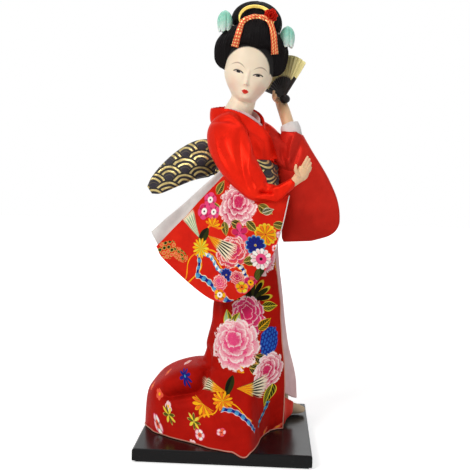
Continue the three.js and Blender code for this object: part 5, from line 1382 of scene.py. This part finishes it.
# comb: a gilt crescent standing in the topknot
gilt, tree, shader = newMaterial("gilt")
wear = noise(objectMap(tree), 500.0, 3.0)
color = mix(wear, tint(206, 164, 52), tint(246, 222, 130))
dress(shader, color, wear * 0.3 + 0.2, wear, 0.15, 0.1, Metallic=0.85)
crescent = {
    "middle": -0.4, "from": -24, "sweep": 228, "deep": 0.75,
    "edge": (12.2, 10.192, 66), "inner": (10.7, 9.2, 64.4),  # half across, half up and height of each arc
    "bar": [[-11, -12.4, 63.6, 0.55, 0.6], [-0.4, -13.6, 62.4, 0.65, 0.6], [10.4, -12.4, 63.6, 0.55, 0.6]],
}
arc = np.radians(crescent["from"] + crescent["sweep"] * np.linspace(0, 1, 100))
lean = -12.2 + 4.2 * np.maximum(0, np.sin(arc)) ** 1.5


def arcLine(wide, tall, height, forward):  # an arc of an oval in the comb's leaning face
    return stack(crescent["middle"] + wide * np.cos(arc), lean - forward, height + tall * np.sin(arc))


edge, inner = arcLine(*crescent["edge"], 0), arcLine(*crescent["inner"], 0.4)
middle, half = (edge + inner) / 2, np.linalg.norm(edge - inner, axis=1) / 2
ring = np.linspace(0, 2 * np.pi, 20, endpoint=False)
across = unit(edge - inner)[:, None] * (half[:, None] * np.cos(ring))[..., None]
spots = middle[:, None] + across + np.array([0, 1.0, 0]) * (crescent["deep"] * np.sin(ring))[:, None]
grids = [ringGrid(fromHead(g)) for g in (spots, limb(crescent["bar"], up, 14, 40))]
sew("hairComb", grids, gilt, "head", "comb_gold", "hair_comb")

# rosette: three ruffled rings of red ribbon
rosette = {"middle": (8.6, -15.4, 68.6), "rings": ((4.6, 1.2), (3.3, 2.2), (1.9, 3.0)), "wall": 0.3}
grids = []
for k, (reach, deep) in enumerate(rosette["rings"]):
    r, turn = ringRows(np.linspace(0.15, 1, 14), 72)
    wave = 0.55 * np.sin(turn * 8 + k * 1.3) * r**2
    x = reach * r * np.cos(turn) * (1 + 0.1 * np.sin(turn * 8 + k))
    z = reach * r * np.sin(turn) * (1 + 0.1 * np.cos(turn * 5))
    spots = np.array(rosette["middle"]) + stack(x, wave - deep * r**1.5, z)
    grids.append(ringGrid(fromHead(spots), ends=(1, 0)))
rosetteSilk = satin("rosetteSilk", tint(236, 58, 36), tint(188, 26, 18), 0.4)
sew("hairRosette", grids, rosetteSilk, "head", "ribbon", "hair_flower", wall=rosette["wall"])

# buds on the hairpins: bells of ridged petals with a pearly lip
pearl, tree, shader = newMaterial("pearl")
_, drop, _ = axes(clothMap(tree))
tone = noise(clothMap(tree), 0.5, 2.0)
pale = (drop * -0.1 + tone * 0.7 - 1.1).clip()
color = mix(pale, tint(138, 208, 186), tint(236, 244, 238))
dress(
    shader, color, tone * 0.15 + 0.2, Coat_Weight=0.3, Coat_Roughness=0.15,
    Specular_IOR_Level=0.3, Subsurface_Weight=0.15, Subsurface_Scale=0.001,
)
budShape = [[0, 0.12], [0.1, 0.56], [0.3, 0.9], [0.55, 1.0], [0.8, 0.9], [0.95, 0.76], [1, 0.45]]
for name, hand in (("budLeft", "left"), ("budRight", "right")):
    body, nodeName = "hairpin_" + hand, "bud_" + hand
    low, high = (np.array(corner) * 1000 - [0, 0, boardTop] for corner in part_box(nodeName))
    drop, turn = ringRows(np.linspace(0, 1, 70), 150)
    petal = np.abs(np.sin(turn * 2.5)) ** 0.5
    r = through(budShape, drop)[..., 0] * (0.8 + 0.2 * petal) * (1 - 0.02 * np.cos(turn * 30))
    z = 1 - 2 * drop + 0.3 * (1 - petal) * ease(drop, 0.6, 1) + 0.25 * ease(drop, 0.96, 1)
    spots = (low + high) / 2 + (high - low) / 2 * stack(r * np.cos(turn), r * np.sin(turn), z)
    sew(name, [ringGrid(spots, flip=True)], pearl, body, "pearl", nodeName)
print("hair done")

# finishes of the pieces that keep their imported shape
lacquer, tree, shader = newMaterial("lacquer")
place = objectMap(tree)
haze = noise(place, 30.0, 3.0)
dust = noise(place, 900.0, 2.0).above(0.72, 0.06)
color = mix(dust * 0.12, tint(13, 12, 13), tint(90, 88, 86))
dress(shader, color, haze * 0.16 + 0.14, haze, 0.03, 0.3, Specular_IOR_Level=0.15)
felt = plainCloth("felt", tint(42, 40, 40), tint(30, 29, 29), 0.95)
ivory = plainFinish("ivory", tint(236, 228, 214), 600.0, Roughness=0.3)
steel = plainFinish("steel", tint(150, 150, 148), 800.0, Roughness=0.35, Metallic=1.0)
pegWood, tree, shader = newMaterial("pegWood")
grain = noise(objectMap(tree), 300.0, 4.0)
color = mix(grain, tint(160, 118, 76), tint(206, 164, 116))
dress(shader, color, None, grain, 0.1, 0.1, Roughness=0.6)
keeps = {"base_board": lacquer, "base_felt": felt, "neck_peg": pegWood}
keeps.update({name: ivory for name in ("hairpin_left", "hairpin_right")})
keeps.update({name: steel for name in ("leg_wire_left", "leg_wire_right", "arm_wire_left", "arm_wire_right")})
for name, finish in keeps.items():
    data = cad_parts[name].data
    data.materials.clear()
    data.materials.append(finish)


# stage, light and camera
def openRays(tree):  # 1 for rays that see the background itself, straight on or mirrored
    path = tree.nodes.new("ShaderNodeLightPath")
    seen = [Wire(tree, path.outputs[k]) for k in ("Is Camera Ray", "Is Glossy Ray", "Is Transmission Ray")]
    return (seen[0] + seen[1] + seen[2]).op("MINIMUM", 1.0)


floorFinish, tree, shader = newMaterial("floorFinish")
dress(shader, (0.86, 0.86, 0.86, 1), Roughness=0.9, Specular_IOR_Level=0.1, Emission_Color=(1, 1, 1, 1))
x, y, _ = axes(objectMap(tree))
farAway = hypot(x, y).above(0.75, 0.45)  # the floor pales to white before its edge
plug(shader.inputs["Emission Strength"], openRays(tree) * (farAway * 0.5 + 0.5))
across = np.linspace(-2600, 2600, 3)
spots = stack(across[None], across[:, None], np.full((3, 3), -boardTop))
backdrop = makeMesh("backdrop", [{"spots": spots, "flip": True}])
backdrop.data.materials.append(floorFinish)
backdrop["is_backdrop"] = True

dollMiddle = np.array([0, 0, 0.14])


def matrixOf(right, above, back, place):  # an object's axes and place as a matrix
    return Matrix(np.vstack([np.column_stack([right, above, back, place]), [0, 0, 0, 1]]).tolist())


def softBox(name, place, size, power, color):  # a rectangular light that looks at the doll
    lamp = bpy.data.lights.new(name, "AREA")
    lamp.shape, lamp.size, lamp.size_y, lamp.energy, lamp.color = "RECTANGLE", *size, power, color
    made = bpy.data.objects.new(name, lamp)
    back = unit(place - dollMiddle)
    right = unit(np.cross(up, back))
    made.matrix_world = matrixOf(right, np.cross(back, right), back, place)
    bpy.context.scene.collection.objects.link(made)


softBox("keyLight", (-0.55, -0.75, 0.75), (0.45, 0.45), 7.0, (1, 0.98, 0.95))
softBox("fillLight", (0.8, -0.5, 0.45), (0.7, 0.7), 1.5, (0.96, 0.98, 1))
softBox("topLight", (0.05, 0.1, 1.1), (0.7, 0.7), 2.6, (1, 1, 1))
softBox("backLight", (0.3, 0.9, 0.6), (0.8, 0.5), 1.6, (1, 1, 1))
world = bpy.data.worlds.new("studio")
bpy.context.scene.world = world
world.use_nodes = True
tree = world.node_tree
sky = tree.nodes["Background"]
sky.inputs["Color"].default_value = (1, 1, 1, 1)
plug(sky.inputs["Strength"], openRays(tree) * 0.78 + 0.22)

bpy.context.scene.view_settings.view_transform = "Standard"
view = {"lens": 59.13, "turns": (2.7, 4.3, 1.45), "place": (0.0277, -0.5393, 0.185)}
cameraData = bpy.data.cameras.new("camera")
cameraData.lens, cameraData.sensor_width, cameraData.clip_start = view["lens"], 36.0, 0.01
camera = bpy.data.objects.new("camera", cameraData)
azimuth, pitch, roll = np.radians(view["turns"])
ahead = np.array([-np.sin(azimuth) * np.cos(pitch), np.cos(azimuth) * np.cos(pitch), -np.sin(pitch)])
right = unit(np.cross(ahead, up))
above = np.cross(right, ahead)
right, above = np.cos(roll) * right + np.sin(roll) * above, np.cos(roll) * above - np.sin(roll) * right
camera.matrix_world = matrixOf(right, above, -ahead, view["place"])
bpy.context.scene.collection.objects.link(camera)
bpy.context.scene.camera = camera
print("stage done")

low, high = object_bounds()
